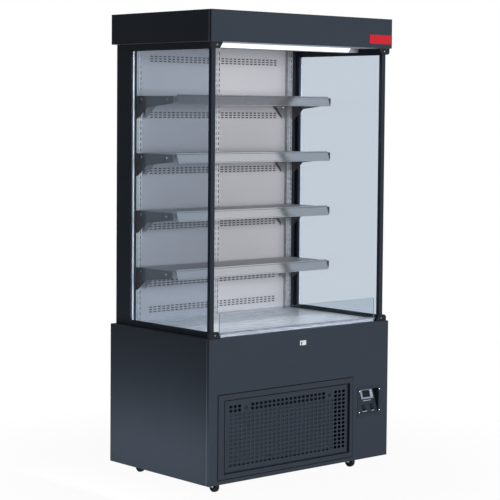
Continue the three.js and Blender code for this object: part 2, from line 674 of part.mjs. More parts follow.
function addShelves() {
  railHeads.forEach((head, i) => {
    const top = head - SHELF_DROP;
    const foot = top - SHELF_FLANGE;
    const tray = [
      [SHELF_FRONT, foot], [SHELF_FRONT, top], [shelfBack, top], [shelfBack, foot],
      [shelfBack - SHELF_SHEET, foot],
      [shelfBack - SHELF_SHEET, top - SHELF_SHEET], [SHELF_FRONT + SHELF_SHEET, top - SHELF_SHEET],
      [SHELF_FRONT + SHELF_SHEET, foot],
    ];
    const seat = top - SHELF_SHEET / 2;
    const supports = mirrored((side) => together(shelfBracket(side, seat), gusset(side, foot)));
    part(`shelf_${i + 1}`, join(extrudeX(tray, [-shelfHalf, shelfHalf]), ...supports), greyPaint);
    // The rail leans on the front edge of its shelf, so its head stands a little behind that edge.
    const face = SHELF_FRONT - GAP + (RAIL_LEAN * SHELF_DROP) / RAIL_HEIGHT;
    part(`ticket_rail_${i + 1}`, extrudeX([
      [face, head], [face - RAIL_THICKNESS, head], [face - RAIL_THICKNESS - RAIL_LEAN, head - RAIL_HEIGHT],
      [face - RAIL_LEAN, head - RAIL_HEIGHT],
    ], [-railHalf, railHalf]), greyPaint);
  });
}

// A plate beside the outer upright, with a flange along its top that reaches to the shelf's end.
function shelfBracket(side, top) {
  const near = uprightSpacing + UPRIGHT_WIDTH / 2 + GAP;
  const far = near + BRACKET_SHEET;
  const plate = extrudeX([
    [shelfBack, top], [SHELF_FRONT, top], [SHELF_FRONT, top - BRACKET_NOSE_HEIGHT],
    [shelfBack - BRACKET_CUT_LENGTH, top - BRACKET_CUT_HEIGHT],
    [shelfBack - BRACKET_REAR_LENGTH, top - BRACKET_REAR_HEIGHT], [shelfBack, top - BRACKET_REAR_HEIGHT],
  ], sideRange(side, near, far));
  const flange = block(sideRange(side, shelfHalf - WELD, far), [SHELF_FRONT, shelfBack],
    [top - BRACKET_SHEET, top]);
  return join(plate, flange);
}

// A triangle of sheet below the shelf's rear flange, as deep as the brackets.
function gusset(side, shelfFoot) {
  const near = uprightSpacing - UPRIGHT_WIDTH / 2 - GUSSET_SETBACK;
  const bottom = shelfFoot + SHELF_FLANGE - SHELF_SHEET / 2 - BRACKET_REAR_HEIGHT;
  const points = [
    [near, bottom], [near, shelfFoot + WELD], [near - GUSSET_WIDTH, shelfFoot + WELD],
    [near - GUSSET_FOOT, bottom],
  ].map(([x, z]) => [side * x, z]);
  return extrudeY(points, [shelfBack - SHELF_SHEET, shelfBack]);
}

function addSides() {
  const opening = {
    y: [POST_SETBACK + POST_DEPTH, bodyBack - REAR_BAND_WIDTH],
    z: [bodyBottom + BOTTOM_RAIL, bodyTop - TOP_RAIL],
  };
  const paneInset = (FRAME_THICKNESS - SIDE_GLASS_THICKNESS) / 2;
  for (const side of [-1, 1]) {
    const name = side < 0 ? 'left' : 'right';
    const frame = extrudeX(rectangle([POST_SETBACK, bodyBack], [bodyBottom, bodyTop]),
      sideRange(side, interiorHalf, bodyHalf), [rectangle(opening.y, opening.z)]);
    const retainer = block(
      sideRange(side, interiorHalf - RETAINER_WIDTH, interiorHalf + WELD),
      [backPanelFront - GAP - RETAINER_THICKNESS, backPanelFront - GAP],
      [deckTop + GAP, bodyTop],
    );
    part(`side_frame_${name}`, join(frame, retainer, ...cornerBrackets(side)), blackPaint);
    part(`side_glass_${name}`, block(sideRange(side, interiorHalf + paneInset, bodyHalf - paneInset),
      [opening.y[0] + GAP, opening.y[1] - GAP], [opening.z[0] + GAP, opening.z[1] - GAP]), clearGlass);
  }
}

// The plastic brackets in front of the post's two ends.
function cornerBrackets(side) {
  const outer = bodyHalf + CORNER_OVERHANG;
  const inner = outer - CORNER_WIDTH;
  return [[bodyBottom, 1], [bodyTop, -1]].map(([seat, up]) => {
    const points = [
      [inner, 0], [outer, 0], [outer, CORNER_HEIGHT - CORNER_CHAMFER], [outer - CORNER_CHAMFER, CORNER_HEIGHT],
      [inner + CORNER_SLOPE, CORNER_HEIGHT],
    ].map(([x, z]) => [side * x, seat + up * z]);
    return extrudeY(points, [POST_SETBACK - CORNER_THICKNESS, POST_SETBACK + WELD]);
  });
}

// ---------------------------------------------------------------- header
function addHeader() {
  const inside = halfWidth - SHEET;
  const front = cut(
    block([-halfWidth, halfWidth], [0, FOLD], [headerBottom, TOTAL_HEIGHT]),
    block([-inside, inside], [SHEET, FOLD + 1], [headerBottom - 1, TOTAL_HEIGHT - SHEET]),
  );
  part('header_front', front, charcoal);
  const cover = cut(
    block([-halfWidth, halfWidth], [FOLD + GAP, CASE_DEPTH], [headerBottom, TOTAL_HEIGHT]),
    block([-inside, inside], [FOLD, CASE_DEPTH - SHEET], [headerBottom - 1, TOTAL_HEIGHT - SHEET]),
  );
  part('header_cover', cover, charcoal);

  const half = inside - GAP;
  const plate = block([-half, half], [FOLD + GAP, insideBack],
    [headerBottom, headerBottom + CEILING_SHEET]);
  const honeycomb = block(
    [-interiorHalf + GAP, interiorHalf - GAP],
    [HONEYCOMB_SETBACK, HONEYCOMB_SETBACK + HONEYCOMB_DEPTH],
    [headerBottom - HONEYCOMB_DROP, headerBottom + WELD],
  );
  const hangers = mirrored((side) => {
    const near = curtainHalf + ROLLER_PLATE;
    return block(
      sideRange(side, near, near + ROLLER_PLATE),
      [FOLD + GAP, ROLLER_SETBACK + ROLLER_RADIUS],
      [headerBottom + WELD, rollerZ + ROLLER_PLATE_RISE],
    );
  });
  const bore = cylinder(ROLLER_PIN_RADIUS + GAP, CASE_WIDTH, 'x', [0, ROLLER_SETBACK, rollerZ]);
  part('header_ceiling', cut(join(plate, honeycomb, ...hangers), bore), greyPaint);
  addLight();
  const badgeRight = halfWidth - BADGE.fromRight;
  const badgeBottom = headerBottom + BADGE.rise;
  const badge = block([badgeRight - BADGE.width, badgeRight], [-GAP - BADGE.thickness, -GAP],
    [badgeBottom, badgeBottom + BADGE.height]);
  part('badge_plate', badge, badgeRed);
}

function addLight() {
  const foot = bodyTop - LIGHT_DROP;
  const across = [-lightHalf, lightHalf];
  const skin = LIGHT_SETBACK + DIFFUSER_THICKNESS;
  part('light_diffuser', extrudeX([
    [LIGHT_SETBACK, bodyTop], [skin, bodyTop], [skin + LIGHT_LEAN, foot], [LIGHT_SETBACK + LIGHT_LEAN, foot],
  ], across), lightPlastic);
  const body = skin + GAP;
  const back = LIGHT_SETBACK + LIGHT_DEPTH;
  const housing = extrudeX([[body, bodyTop], [back, bodyTop], [back, foot], [body + LIGHT_LEAN, foot]], across);
  part('light_bar', housing, galvanised);
}

function addCurtain() {
  const axis = [0, ROLLER_SETBACK, rollerZ];
  const roller = cylinder(ROLLER_RADIUS, 2 * curtainHalf, 'x', axis, ROLLER_SIDES);
  const pin = cylinder(ROLLER_PIN_RADIUS, 2 * (curtainHalf + ROLLER_PIN_LENGTH), 'x', axis);
  part('curtain_roller', join(roller, pin), curtainCloth);
  const barBottom = headerBottom + 1;
  const barTop = barBottom + CURTAIN_BAR.height;
  const barHalf = interiorHalf - CURTAIN_BAR.sideClearance;
  part('curtain_bar', block([-barHalf, barHalf],
    [CURTAIN_BAR.setback, CURTAIN_BAR.setback + CURTAIN_BAR.depth], [barBottom, barTop]), galvanised);
  const clothBack = ROLLER_SETBACK - ROLLER_RADIUS - GAP;
  const cloth = block([-curtainHalf, curtainHalf], [clothBack - CURTAIN_THICKNESS, clothBack],
    [barTop + GAP, rollerZ]);
  part('curtain_sheet', cloth, curtainCloth);
}

// ---------------------------------------------------------------- machinery
function addMachinery() {
  part('compressor', compressor(), motorBlack);
  part('condenser', condenser(), coilMetal);
  part('evaporator', evaporator(), coilMetal);
  part('condenser_fan', fan(condenserFan), motorBlack);
  part('evaporator_fan', fan(evaporatorFan), motorBlack);
}

function compressor() {
  const { radius, height, foot, feetDepth, baseRadius, shoulderRadius, crownRadius, dome } = COMPRESSOR;
  const x = halfWidth - COMPRESSOR.fromRight;
  const y = CASE_DEPTH - COMPRESSOR.fromBack;
  const profile = [
    [0, 0], [baseRadius, 0], [radius, dome / 2], [radius, height - dome], [shoulderRadius, height - dome / 3],
    [crownRadius, height], [0, height],
  ].map(([r, h]) => new THREE.Vector2(r, h));
  const can = new THREE.LatheGeometry(profile, COMPRESSOR_SIDES).rotateX(Math.PI / 2);
  can.translate(x, y, machineFloor + foot - WELD);
  const feet = block([x - radius, x + radius], [y - feetDepth / 2, y + feetDepth / 2],
    [machineFloor, machineFloor + foot]);
  return join(feet, bare(can));
}

// The finned core on two stands, on one base sheet with its fan's motor.
function condenser() {
  const { width, front, depth, bottom, top } = CONDENSER;
  const left = condenserLeft;
  const right = left + width;
  const core = block([left, right], [front, front + depth], [bottom, top]);
  const stands = [left, right - FOLD].map((x) => block([x, x + FOLD], [front, front + depth],
    [machineFloor, bottom + WELD]));
  const tray = block([left, right], [front, motorBack(condenserFan)],
    [machineFloor, machineFloor + BASE_PLATE]);
  return join(core, tray, ...stands, motor(condenserFan, machineFloor));
}

function evaporator() {
  const { sideClearance, depth, height, saddle } = EVAPORATOR;
  const half = interiorHalf - sideClearance;
  const coil = block([-half, half], [evaporatorFront, evaporatorFront + depth],
    [cavityFloor, cavityFloor + height]);
  const motorFront = motorBack(evaporatorFan) - MOTOR_LENGTH;
  const plate = block([-saddle / 2, saddle / 2], [motorFront, evaporatorFront + WELD],
    [cavityFloor, cavityFloor + BASE_PLATE]);
  return join(coil, plate, motor(evaporatorFan, cavityFloor));
}

function motorBack({ y, depth }) {
  return y + depth + MOTOR_LENGTH;
}

// A hub with pitched blades, turning about Y.
function fan({ x, y, z, radius, hub, depth, chord }) {
  const root = hub - BLADE_ROOT;
  const blades = [];
  for (let i = 0; i < FAN_BLADES; i += 1) {
    const blade = new THREE.BoxGeometry(radius - root, BLADE_SHEET, chord);
    blade.translate((radius + root) / 2, 0, 0).rotateX(THREE.MathUtils.degToRad(BLADE_TILT));
    blade.rotateY((i / FAN_BLADES) * 2 * Math.PI);
    blades.push(bare(blade.translate(x, y, z)));
  }
  const bore = cylinder(FAN_SHAFT_RADIUS + GAP, depth, 'y', [x, y + depth / 2, z], 12);
  return cut(join(cylinder(hub, depth, 'y', [x, y, z]), ...blades), bore);
}

// The fan's motor behind it, on a foot that stands on floor.
function motor({ x, y, z, hub, depth, motorRadius }, floor) {
  const face = y + depth;
  const can = cylinder(motorRadius, MOTOR_LENGTH, 'y', [x, face + MOTOR_LENGTH / 2, z]);
  const shaft = cylinder(FAN_SHAFT_RADIUS, depth, 'y', [x, face - depth / 2 + WELD, z], 12);
  const foot = block(
    [x - hub / 2, x + hub / 2],
    [face + MOTOR_FOOT_INSET, face + MOTOR_LENGTH - MOTOR_FOOT_INSET],
    [floor, z - hub],
  );
  return join(can, shaft, foot);
}

function addCableInlet() {
  const x = halfWidth - INLET.fromRight;
  const middle = CASE_DEPTH + GAP + INLET.length / 2;
  part('cable_inlet', cut(
    cylinder(INLET.radius, INLET.length, 'y', [x, middle, INLET.z]),
    cylinder(INLET.bore, INLET.length * 2, 'y', [x, middle, INLET.z], 12),
  ), blackPlastic);
}

// ---------------------------------------------------------------- casters
function addCasters() {
  for (const [endName, y] of Object.entries(casterYs)) {
    for (const [sideName, x] of Object.entries(casterXs)) {
      const caster = new THREE.Group();
      caster.position.set(x, y, 0);
      cabinet.add(caster);
      part(`caster_fork_${endName}_${sideName}`, fork(), galvanised, caster);
      part(`caster_wheel_${endName}_${sideName}`, wheel(), blackPlastic, caster);
    }
  }
}

// The wheel stands on one of its flat facets, ahead of the swivel axis.
function wheel() {
  const corner = WHEEL_RADIUS / Math.cos(Math.PI / WHEEL_SIDES);
  const half = WHEEL_WIDTH / 2;
  const bore = AXLE_RADIUS + GAP;
  const profile = [
    [bore, -half], [corner - WHEEL_CHAMFER, -half], [corner, WHEEL_CHAMFER - half],
    [corner, half - WHEEL_CHAMFER], [corner - WHEEL_CHAMFER, half], [bore, half], [bore, -half],
  ].map(([r, h]) => new THREE.Vector2(r, h));
  const turned = new THREE.LatheGeometry(profile, WHEEL_SIDES).rotateY(Math.PI / WHEEL_SIDES);
  return bare(turned.rotateZ(-Math.PI / 2).translate(0, -CASTER_TRAIL, WHEEL_RADIUS));
}

function fork() {
  const top = CHASSIS_BOTTOM - PLATE_SHEET - RACE_HEIGHT - GAP;
  const near = WHEEL_WIDTH / 2 + FORK_CLEARANCE;
  const halfTop = FORK_WIDTH / 2;
  const eye = 2 * AXLE_RADIUS; // the cheeks reach this far round the axle
  const cheek = [
    [-halfTop, top], [halfTop, top], [halfTop, top - FORK_SHEET],
    [-CASTER_TRAIL + eye, WHEEL_RADIUS - AXLE_RADIUS], [-CASTER_TRAIL - eye, WHEEL_RADIUS - AXLE_RADIUS],
    [-CASTER_TRAIL - eye, WHEEL_RADIUS + eye],
  ];
  const cheeks = mirrored((side) => extrudeX(cheek, sideRange(side, near, near + FORK_SHEET)));
  const bridge = block([-near - WELD, near + WELD], [-halfTop, halfTop], [top - FORK_SHEET, top]);
  const stem = cylinder(STEM_RADIUS, RACE_HEIGHT, 'z', [0, 0, top + RACE_HEIGHT / 2 - WELD]);
  const axle = cylinder(AXLE_RADIUS, 2 * (near + FORK_SHEET), 'x', [0, -CASTER_TRAIL, WHEEL_RADIUS], 12);
  return join(bridge, ...cheeks, stem, axle);
}

// ---------------------------------------------------------------- assembly
addBaseCasing();
addChassis();
addGrille();
addControlHousing();
addController();
addRockers();
addCatch();
addTubAndDeck();
addRear();
addShelves();
addSides();
addHeader();
addCurtain();
addMachinery();
addCableInlet();
addCasters();

const fridge = new THREE.Group();
fridge.add(cabinet);
export default fridge;
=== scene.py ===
"""Open multideck display fridge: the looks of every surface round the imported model, in metres, with -Y in front,
+X to the viewer's right and +Z up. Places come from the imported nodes, so a piece sits where its node is."""
import json
import math

import bmesh
import bpy
from mathutils import Matrix, Vector


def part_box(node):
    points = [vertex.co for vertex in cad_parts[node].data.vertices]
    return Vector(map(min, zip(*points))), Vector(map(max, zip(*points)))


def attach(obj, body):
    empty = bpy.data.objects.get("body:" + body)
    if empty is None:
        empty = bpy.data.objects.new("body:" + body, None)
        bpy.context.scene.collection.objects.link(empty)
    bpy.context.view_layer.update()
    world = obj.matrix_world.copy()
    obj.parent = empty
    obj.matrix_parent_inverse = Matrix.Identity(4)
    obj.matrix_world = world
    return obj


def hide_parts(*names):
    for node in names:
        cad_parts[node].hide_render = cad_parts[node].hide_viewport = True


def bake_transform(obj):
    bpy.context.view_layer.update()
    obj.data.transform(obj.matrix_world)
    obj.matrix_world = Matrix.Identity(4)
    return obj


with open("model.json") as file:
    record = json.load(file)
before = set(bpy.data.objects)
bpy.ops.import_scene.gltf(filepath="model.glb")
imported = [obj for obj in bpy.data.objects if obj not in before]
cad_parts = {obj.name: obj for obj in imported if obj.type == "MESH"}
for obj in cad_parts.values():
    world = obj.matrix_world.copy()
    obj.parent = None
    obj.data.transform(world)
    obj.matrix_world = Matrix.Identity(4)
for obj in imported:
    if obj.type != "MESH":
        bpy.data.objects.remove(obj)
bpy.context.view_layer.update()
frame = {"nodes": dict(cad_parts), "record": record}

MM = 0.001
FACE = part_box("base_front_panel")[0].y  # the plane of the case's front face
SIDES = {"left": -1, "right": 1}
SHELVES = range(1, 5)
MERGE = 1e-6  # metres: points closer than this are one point
# How far the sharp edges of each kind of part are rounded.
EDGE = {
    "screen": 0.3 * MM, "rail": 0.35 * MM, "tray": 0.4 * MM, "fine": 0.5 * MM, "small": 0.6 * MM, "sheet": 0.7 * MM,
    "plate": 0.8 * MM, "rim": 0.9 * MM, "box": 1.0 * MM, "casing": 1.2 * MM, "deep": 1.5 * MM, "bar": 2.0 * MM,
    "frame": 2.2 * MM,
}

# ------------------------------------------------------------------ camera
IMAGE_SIZE = 500  # pixels, both ways
FOCAL_PIXELS = 1679.6
SENSOR = 36.0
CAMERA_PLACE = Vector((-4.918, -5.597, 1.592))
CAMERA_YAW = 0.7202  # to the right of +Y
CAMERA_PITCH = 0.0596  # downwards
CAMERA_ROLL = 0.0083
CAMERA_SHIFT_Y = -0.08


def add_camera():
    forward = Vector((
        math.sin(CAMERA_YAW) * math.cos(CAMERA_PITCH),
        math.cos(CAMERA_YAW) * math.cos(CAMERA_PITCH),
        -math.sin(CAMERA_PITCH),
    ))
    level = Vector((math.cos(CAMERA_YAW), -math.sin(CAMERA_YAW), 0))
    up = level.cross(forward)
    right = math.cos(CAMERA_ROLL) * level + math.sin(CAMERA_ROLL) * up
    top = math.cos(CAMERA_ROLL) * up - math.sin(CAMERA_ROLL) * level
    data = bpy.data.cameras.new("camera")
    data.sensor_fit = "HORIZONTAL"
    data.sensor_width = SENSOR
    data.lens = SENSOR * FOCAL_PIXELS / IMAGE_SIZE
    data.shift_y = CAMERA_SHIFT_Y
    data.clip_end = 100
    camera = bpy.data.objects.new("camera", data)
    turn = Matrix((right, top, -forward)).transposed().to_4x4()
    camera.matrix_world = Matrix.Translation(CAMERA_PLACE) @ turn
    bpy.context.scene.collection.objects.link(camera)
    bpy.context.scene.camera = camera


# ------------------------------------------------------------------ materials
def new_material(name):
    material = bpy.data.materials.new(name)
    material.use_nodes = True
    return material, material.node_tree.nodes, material.node_tree.links


def object_noise(nodes, links, scale, stretch=(1, 1, 1), detail=3.0):
    """Noise in the part's own metres, so that its grain keeps one real size."""
    place = nodes.new("ShaderNodeTexCoord")
    mapping = nodes.new("ShaderNodeMapping")
    mapping.inputs["Scale"].default_value = stretch
    noise = nodes.new("ShaderNodeTexNoise")
    noise.inputs["Scale"].default_value = scale
    noise.inputs["Detail"].default_value = detail
    links.new(place.outputs["Object"], mapping.inputs["Vector"])
    links.new(mapping.outputs["Vector"], noise.inputs["Vector"])
    return noise.outputs["Fac"]


NOISE_RANGE = (0.3, 0.7)  # where nearly all values of the noise lie


def ranged(nodes, links, value, low, high):
    spread = nodes.new("ShaderNodeMapRange")
    spread.inputs["From Min"].default_value = NOISE_RANGE[0]
    spread.inputs["From Max"].default_value = NOISE_RANGE[1]
    spread.inputs["To Min"].default_value = low
    spread.inputs["To Max"].default_value = high
    links.new(value, spread.inputs["Value"])
    return spread.outputs["Result"]


def between(nodes, links, value, first, second):
    mix = nodes.new("ShaderNodeMix")
    mix.data_type = "RGBA"
    mix.inputs["A"].default_value = (*first, 1)
    mix.inputs["B"].default_value = (*second, 1)
    links.new(value, mix.inputs["Factor"])
    return mix.outputs["Result"]


def surface(name, colour, roughness, metallic=0.0, variation=0.08, grain=700, bump=0.00003, stretch=(1, 1, 1),
            patch=6, roughness_spread=0.06, specular=0.5):
    """A finish with soft patches of tone, a fine grain that catches the light, and uneven gloss."""
    material, nodes, links = new_material(name)
    shader = nodes["Principled BSDF"]
    patches = object_noise(nodes, links, patch)
    dark = [c * (1 - variation) for c in colour]
    light = [min(1, c * (1 + variation)) for c in colour]
    links.new(between(nodes, links, patches, dark, light), shader.inputs["Base Color"])
    fine = object_noise(nodes, links, grain, stretch)
    links.new(ranged(nodes, links, fine, roughness - roughness_spread, roughness + roughness_spread),
              shader.inputs["Roughness"])
    relief = nodes.new("ShaderNodeBump")
    relief.inputs["Strength"].default_value = 0.6
    relief.inputs["Distance"].default_value = bump
    links.new(fine, relief.inputs["Height"])
    links.new(relief.outputs["Normal"], shader.inputs["Normal"])
    shader.inputs["Metallic"].default_value = metallic
    shader.inputs["Specular IOR Level"].default_value = specular
    return material


CRYSTAL_TONES = (0.82, 1.15)


def spangled(name, colour, roughness):
    """Zinc coating: crystals of slightly different tone."""
    material = surface(name, colour, roughness, metallic=0.85, variation=0.12, grain=220, bump=0.00001)
    nodes, links = material.node_tree.nodes, material.node_tree.links
    place = nodes.new("ShaderNodeTexCoord")
    crystals = nodes.new("ShaderNodeTexVoronoi")
    crystals.inputs["Scale"].default_value = 120
    links.new(place.outputs["Object"], crystals.inputs["Vector"])
    grey = nodes.new("ShaderNodeRGBToBW")
    links.new(crystals.outputs["Color"], grey.inputs["Color"])
    dark, light = ([c * tone for c in colour] for tone in CRYSTAL_TONES)
    mixed = between(nodes, links, grey.outputs["Val"], dark, light)
    links.new(mixed, nodes["Principled BSDF"].inputs["Base Color"])
    return material


def glass(name, colour, roughness=0.002, index=1.12):
    """Clear glass that mirrors little and lets light through to what stands behind it."""
    material, nodes, links = new_material(name)
    shader = nodes["Principled BSDF"]
    shader.inputs["Base Color"].default_value = (*colour, 1)
    shader.inputs["Transmission Weight"].default_value = 1
    shader.inputs["IOR"].default_value = index
    smears = object_noise(nodes, links, 5)
    links.new(ranged(nodes, links, smears, roughness * 0.4, roughness), shader.inputs["Roughness"])
    path = nodes.new("ShaderNodeLightPath")
    clear = nodes.new("ShaderNodeBsdfTransparent")
    clear.inputs["Color"].default_value = (*[c * 0.95 for c in colour], 1)
    mix = nodes.new("ShaderNodeMixShader")
    links.new(path.outputs["Is Shadow Ray"], mix.inputs["Fac"])
    links.new(shader.outputs["BSDF"], mix.inputs[1])
    links.new(clear.outputs["BSDF"], mix.inputs[2])
    links.new(mix.outputs["Shader"], nodes["Material Output"].inputs["Surface"])
    return material


def glowing(name, colour, strength):
    """The lamp's diffuser: a soft glow, fainter in fine bands along its length."""
    material = surface(name, colour, 0.35, grain=300, variation=0.03)
    nodes, links = material.node_tree.nodes, material.node_tree.links
    shader = nodes["Principled BSDF"]
    bands = object_noise(nodes, links, 260, (0.02, 1, 1), detail=1)
    links.new(between(nodes, links, bands, [c * 0.9 for c in colour], colour), shader.inputs["Emission Color"])
    shader.inputs["Emission Strength"].default_value = strength
    return material


def woven(name, colour):
    """Cloth: two crossing sets of threads."""
    material = surface(name, colour, 0.75, grain=900, variation=0.1)
    nodes, links = material.node_tree.nodes, material.node_tree.links
    place = nodes.new("ShaderNodeTexCoord")
    heights = []
    for direction in ("X", "Z"):
        threads = nodes.new("ShaderNodeTexWave")
        threads.bands_direction = direction
        threads.inputs["Scale"].default_value = 160
        links.new(place.outputs["Object"], threads.inputs["Vector"])
        heights.append(threads.outputs["Fac"])
    weave = nodes.new("ShaderNodeMath")
    weave.operation = "MAXIMUM"
    links.new(heights[0], weave.inputs[0])
    links.new(heights[1], weave.inputs[1])
    relief = nodes.new("ShaderNodeBump")
    relief.inputs["Distance"].default_value = 0.0002
    links.new(weave.outputs["Value"], relief.inputs["Height"])
    links.new(relief.outputs["Normal"], nodes["Principled BSDF"].inputs["Normal"])
    return material


LOOKS = {
    "charcoal_paint": surface("charcoal_paint", (0.033, 0.042, 0.056), 0.5, grain=1400, variation=0.04,
                              specular=0.04),
    "black_paint": surface("black_paint", (0.023, 0.03, 0.042), 0.45, grain=1400, variation=0.06, specular=0.04),
    "black_plastic": surface("black_plastic", (0.008, 0.01, 0.014), 0.5, grain=900, variation=0.1, specular=0.12),
    "grey_paint": surface("grey_paint", (0.395, 0.395, 0.42), 0.42, grain=1200, variation=0.03, specular=0.3),
    "galvanised": spangled("galvanised", (0.42, 0.43, 0.45), 0.45),
    "stainless": surface("stainless", (0.93, 0.95, 0.97), 0.28, metallic=0.15, grain=300, stretch=(0.02, 1, 1),
                         variation=0.04, roughness_spread=0.04),
    "polished_steel": surface("polished_steel", (0.75, 0.76, 0.78), 0.12, metallic=1.0, grain=400, variation=0.04),
    "insulation_skin": surface("insulation_skin", (0.04, 0.046, 0.06), 0.6, grain=500, bump=0.0001, specular=0.2),
    "clear_glass": glass("clear_glass", (0.74, 0.785, 0.83)),
    "light_plastic": glowing("light_plastic", (0.82, 0.88, 0.98), 0.62),
    "badge_red": surface("badge_red", (0.5, 0.012, 0.022), 0.3, grain=500, variation=0.05, specular=0.15),
    "screen_black": surface("screen_black", (0.01, 0.009, 0.012), 0.25, grain=300, roughness_spread=0.03,
                            specular=0.1),
    "controller_grey": surface("controller_grey", (0.2, 0.25, 0.33), 0.45, grain=900),
    "button_grey": surface("button_grey", (0.58, 0.62, 0.66), 0.45, grain=900),
    "curtain_cloth": woven("curtain_cloth", (0.5, 0.53, 0.56)),
    "coil_metal": surface("coil_metal", (0.3, 0.33, 0.37), 0.5, metallic=0.6, grain=500),
    "motor_black": surface("motor_black", (0.01, 0.01, 0.012), 0.3, grain=400),
}
# The riser's glass edges: the ends get the glass's green edge tint made bright, a painted glow of light carried through
# the pane; the top edge gets a darker copy, painted shade.
GLASS_EDGE_WITH_PAINTED_GLOW = surface("glass_edge_with_painted_glow", (0.16, 0.66, 0.56), 0.2, grain=500, variation=0.1)
GLASS_EDGE_PAINTED_SHADE = surface("glass_edge_painted_shade", (0.11, 0.15, 0.15), 0.25, grain=500, variation=0.1, specular=0.3)
CONTROL_PLATE = surface("control_plate", (0.02, 0.026, 0.036), 0.5, grain=900, variation=0.05, specular=0.12)
RAIL_FINISH = surface("rail_finish", (0.42, 0.44, 0.47), 0.12, metallic=0.9, grain=600, stretch=(0.05, 1, 1),
                      bump=0.000002, roughness_spread=0.02, variation=0.02)
# Lighter colours for the rounded edges at the casing's fold joints: painted highlight lines, brighter on the header and
# dimmer on the base.
BRIGHT_PAINTED_HIGHLIGHT = surface("bright_painted_highlight", (0.6, 0.64, 0.7), 0.4, grain=900)
DIM_PAINTED_HIGHLIGHT = surface("dim_painted_highlight", (0.16, 0.18, 0.21), 0.4, grain=900)
DARK_COIL = surface("dark_coil", (0.05, 0.062, 0.08), 0.5, grain=600, variation=0.15, specular=0.08)
GRILLE_RIM = surface("grille_rim", (0.024, 0.03, 0.042), 0.45, grain=1400, variation=0.05, specular=0.12)
BRACKET_GREY = surface("bracket_grey", (0.15, 0.155, 0.165), 0.42, metallic=0.4, grain=700, variation=0.06)
# The bracket's metal again, darker, for its rear part that hooks into the upright: painted shade.
BRACKET_PAINTED_SHADE = surface("bracket_painted_shade", (0.085, 0.09, 0.1), 0.42, metallic=0.4, grain=700, variation=0.06)
SPACER_ALUMINIUM = surface("spacer_aluminium", (0.8, 0.82, 0.85), 0.5, grain=400)
# Black sealant for the glazing's seals; the same black also paints shade under the shelf rails' top lips.
SEALANT_AND_PAINTED_SHADE = surface("sealant_and_painted_shade", (0.012, 0.013, 0.015), 0.6, grain=400, specular=0.2)
# Black for the foam strip over the condenser, and for the strips in the grille's gaps, which are painted shade.
BLACK_FOAM_AND_PAINTED_SHADE = surface("black_foam_and_painted_shade", (0.004, 0.0055, 0.008), 0.7, grain=400, specular=0.02)
DARK_STEEL = surface("dark_steel", (0.3, 0.32, 0.35), 0.3, metallic=0.9, grain=400)
LABEL_WHITE = surface("label_white", (0.36, 0.42, 0.54), 0.5)
FINISHES = {"polished_steel": LOOKS["polished_steel"], "dark_steel": DARK_STEEL}
SLOT_OF = {sub["node"]: sub["material_slot"] for sub in frame["record"]["subparts"]}


# ------------------------------------------------------------------ mesh tools
def piece(name, bm, looks, body="cabinet", stands_for=()):
    """Makes the object from bm, smooths what is round, and puts it on its body."""
    mesh = bpy.data.meshes.new(name)
    bmesh.ops.recalc_face_normals(bm, faces=bm.faces)
    bm.to_mesh(mesh)
    bm.free()
    for look in looks:
        mesh.materials.append(look)
    mesh.shade_smooth()
    mesh.set_sharp_from_angle(angle=math.radians(50))
    made = bpy.data.objects.new(name, mesh)
    bpy.context.scene.collection.objects.link(made)
    even = made.modifiers.new("even_normals", "WEIGHTED_NORMAL")
    even.keep_sharp = True
    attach(made, body)
    if stands_for:
        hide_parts(*stands_for)
    return made


def add_box(bm, low, high, material=0):
    corners = [bm.verts.new((x, y, z)) for x in (low[0], high[0]) for y in (low[1], high[1]) for z in (low[2], high[2])]
    for a, b, c, d in ((0, 1, 3, 2), (4, 6, 7, 5), (0, 4, 5, 1), (2, 3, 7, 6), (0, 2, 6, 4), (1, 5, 7, 3)):
        bm.faces.new([corners[i] for i in (a, b, c, d)]).material_index = material
    return corners


def add_prism(bm, outline, x0, x1, material=0):
    """An outline in Y and Z, run along X."""
    rings = [[bm.verts.new((x, y, z)) for y, z in outline] for x in (x0, x1)]
    count = len(outline)
    faces = [bm.faces.new(rings[0]), bm.faces.new(list(reversed(rings[1])))]
    for i in range(count):
        j = (i + 1) % count
        faces.append(bm.faces.new((rings[0][j], rings[0][i], rings[1][i], rings[1][j])))
    for face in faces:
        face.material_index = material
    return rings[0] + rings[1]


def add_turned(bm, profile, centre, axis, sides=24, material=0):
    """A profile of (radius, height) pairs turned about axis through centre; a radius of 0 is a point on the axis."""
    turn = Vector((0, 0, 1)).rotation_difference(Vector(axis)).to_matrix()
    rings = []
    for radius, height in profile:
        count = 1 if radius == 0 else sides
        ring = []
        for i in range(count):
            angle = 2 * math.pi * i / sides
            place = turn @ Vector((radius * math.cos(angle), radius * math.sin(angle), height))
            ring.append(bm.verts.new(Vector(centre) + place))
        rings.append(ring)
    for low, high in zip(rings, rings[1:]):
        for i in range(sides):
            j = (i + 1) % sides
            corners = [low[i % len(low)], low[j % len(low)], high[j % len(high)], high[i % len(high)]]
            unique = list(dict.fromkeys(corners))
            if len(unique) > 2:
                bm.faces.new(unique).material_index = material


def soften(bm, width, segments=2, angle=30):
    """Rounds the sharp edges; flat faces are first cleared of the lines that cross them."""
    bmesh.ops.remove_doubles(bm, verts=bm.verts, dist=MERGE)
    bmesh.ops.dissolve_limit(bm, angle_limit=math.radians(1), verts=bm.verts, edges=bm.edges)
    sharp = [e for e in bm.edges if len(e.link_faces) == 2 and e.calc_face_angle() > math.radians(angle)]
    bmesh.ops.bevel(bm, geom=sharp, offset=width, segments=segments, profile=0.5, affect="EDGES", clamp_overlap=True)


def node_mesh(node):
    bm = bmesh.new()
    bm.from_mesh(frame["nodes"][node].data)
    for face in bm.faces:
        face.material_index = 0
    return bm


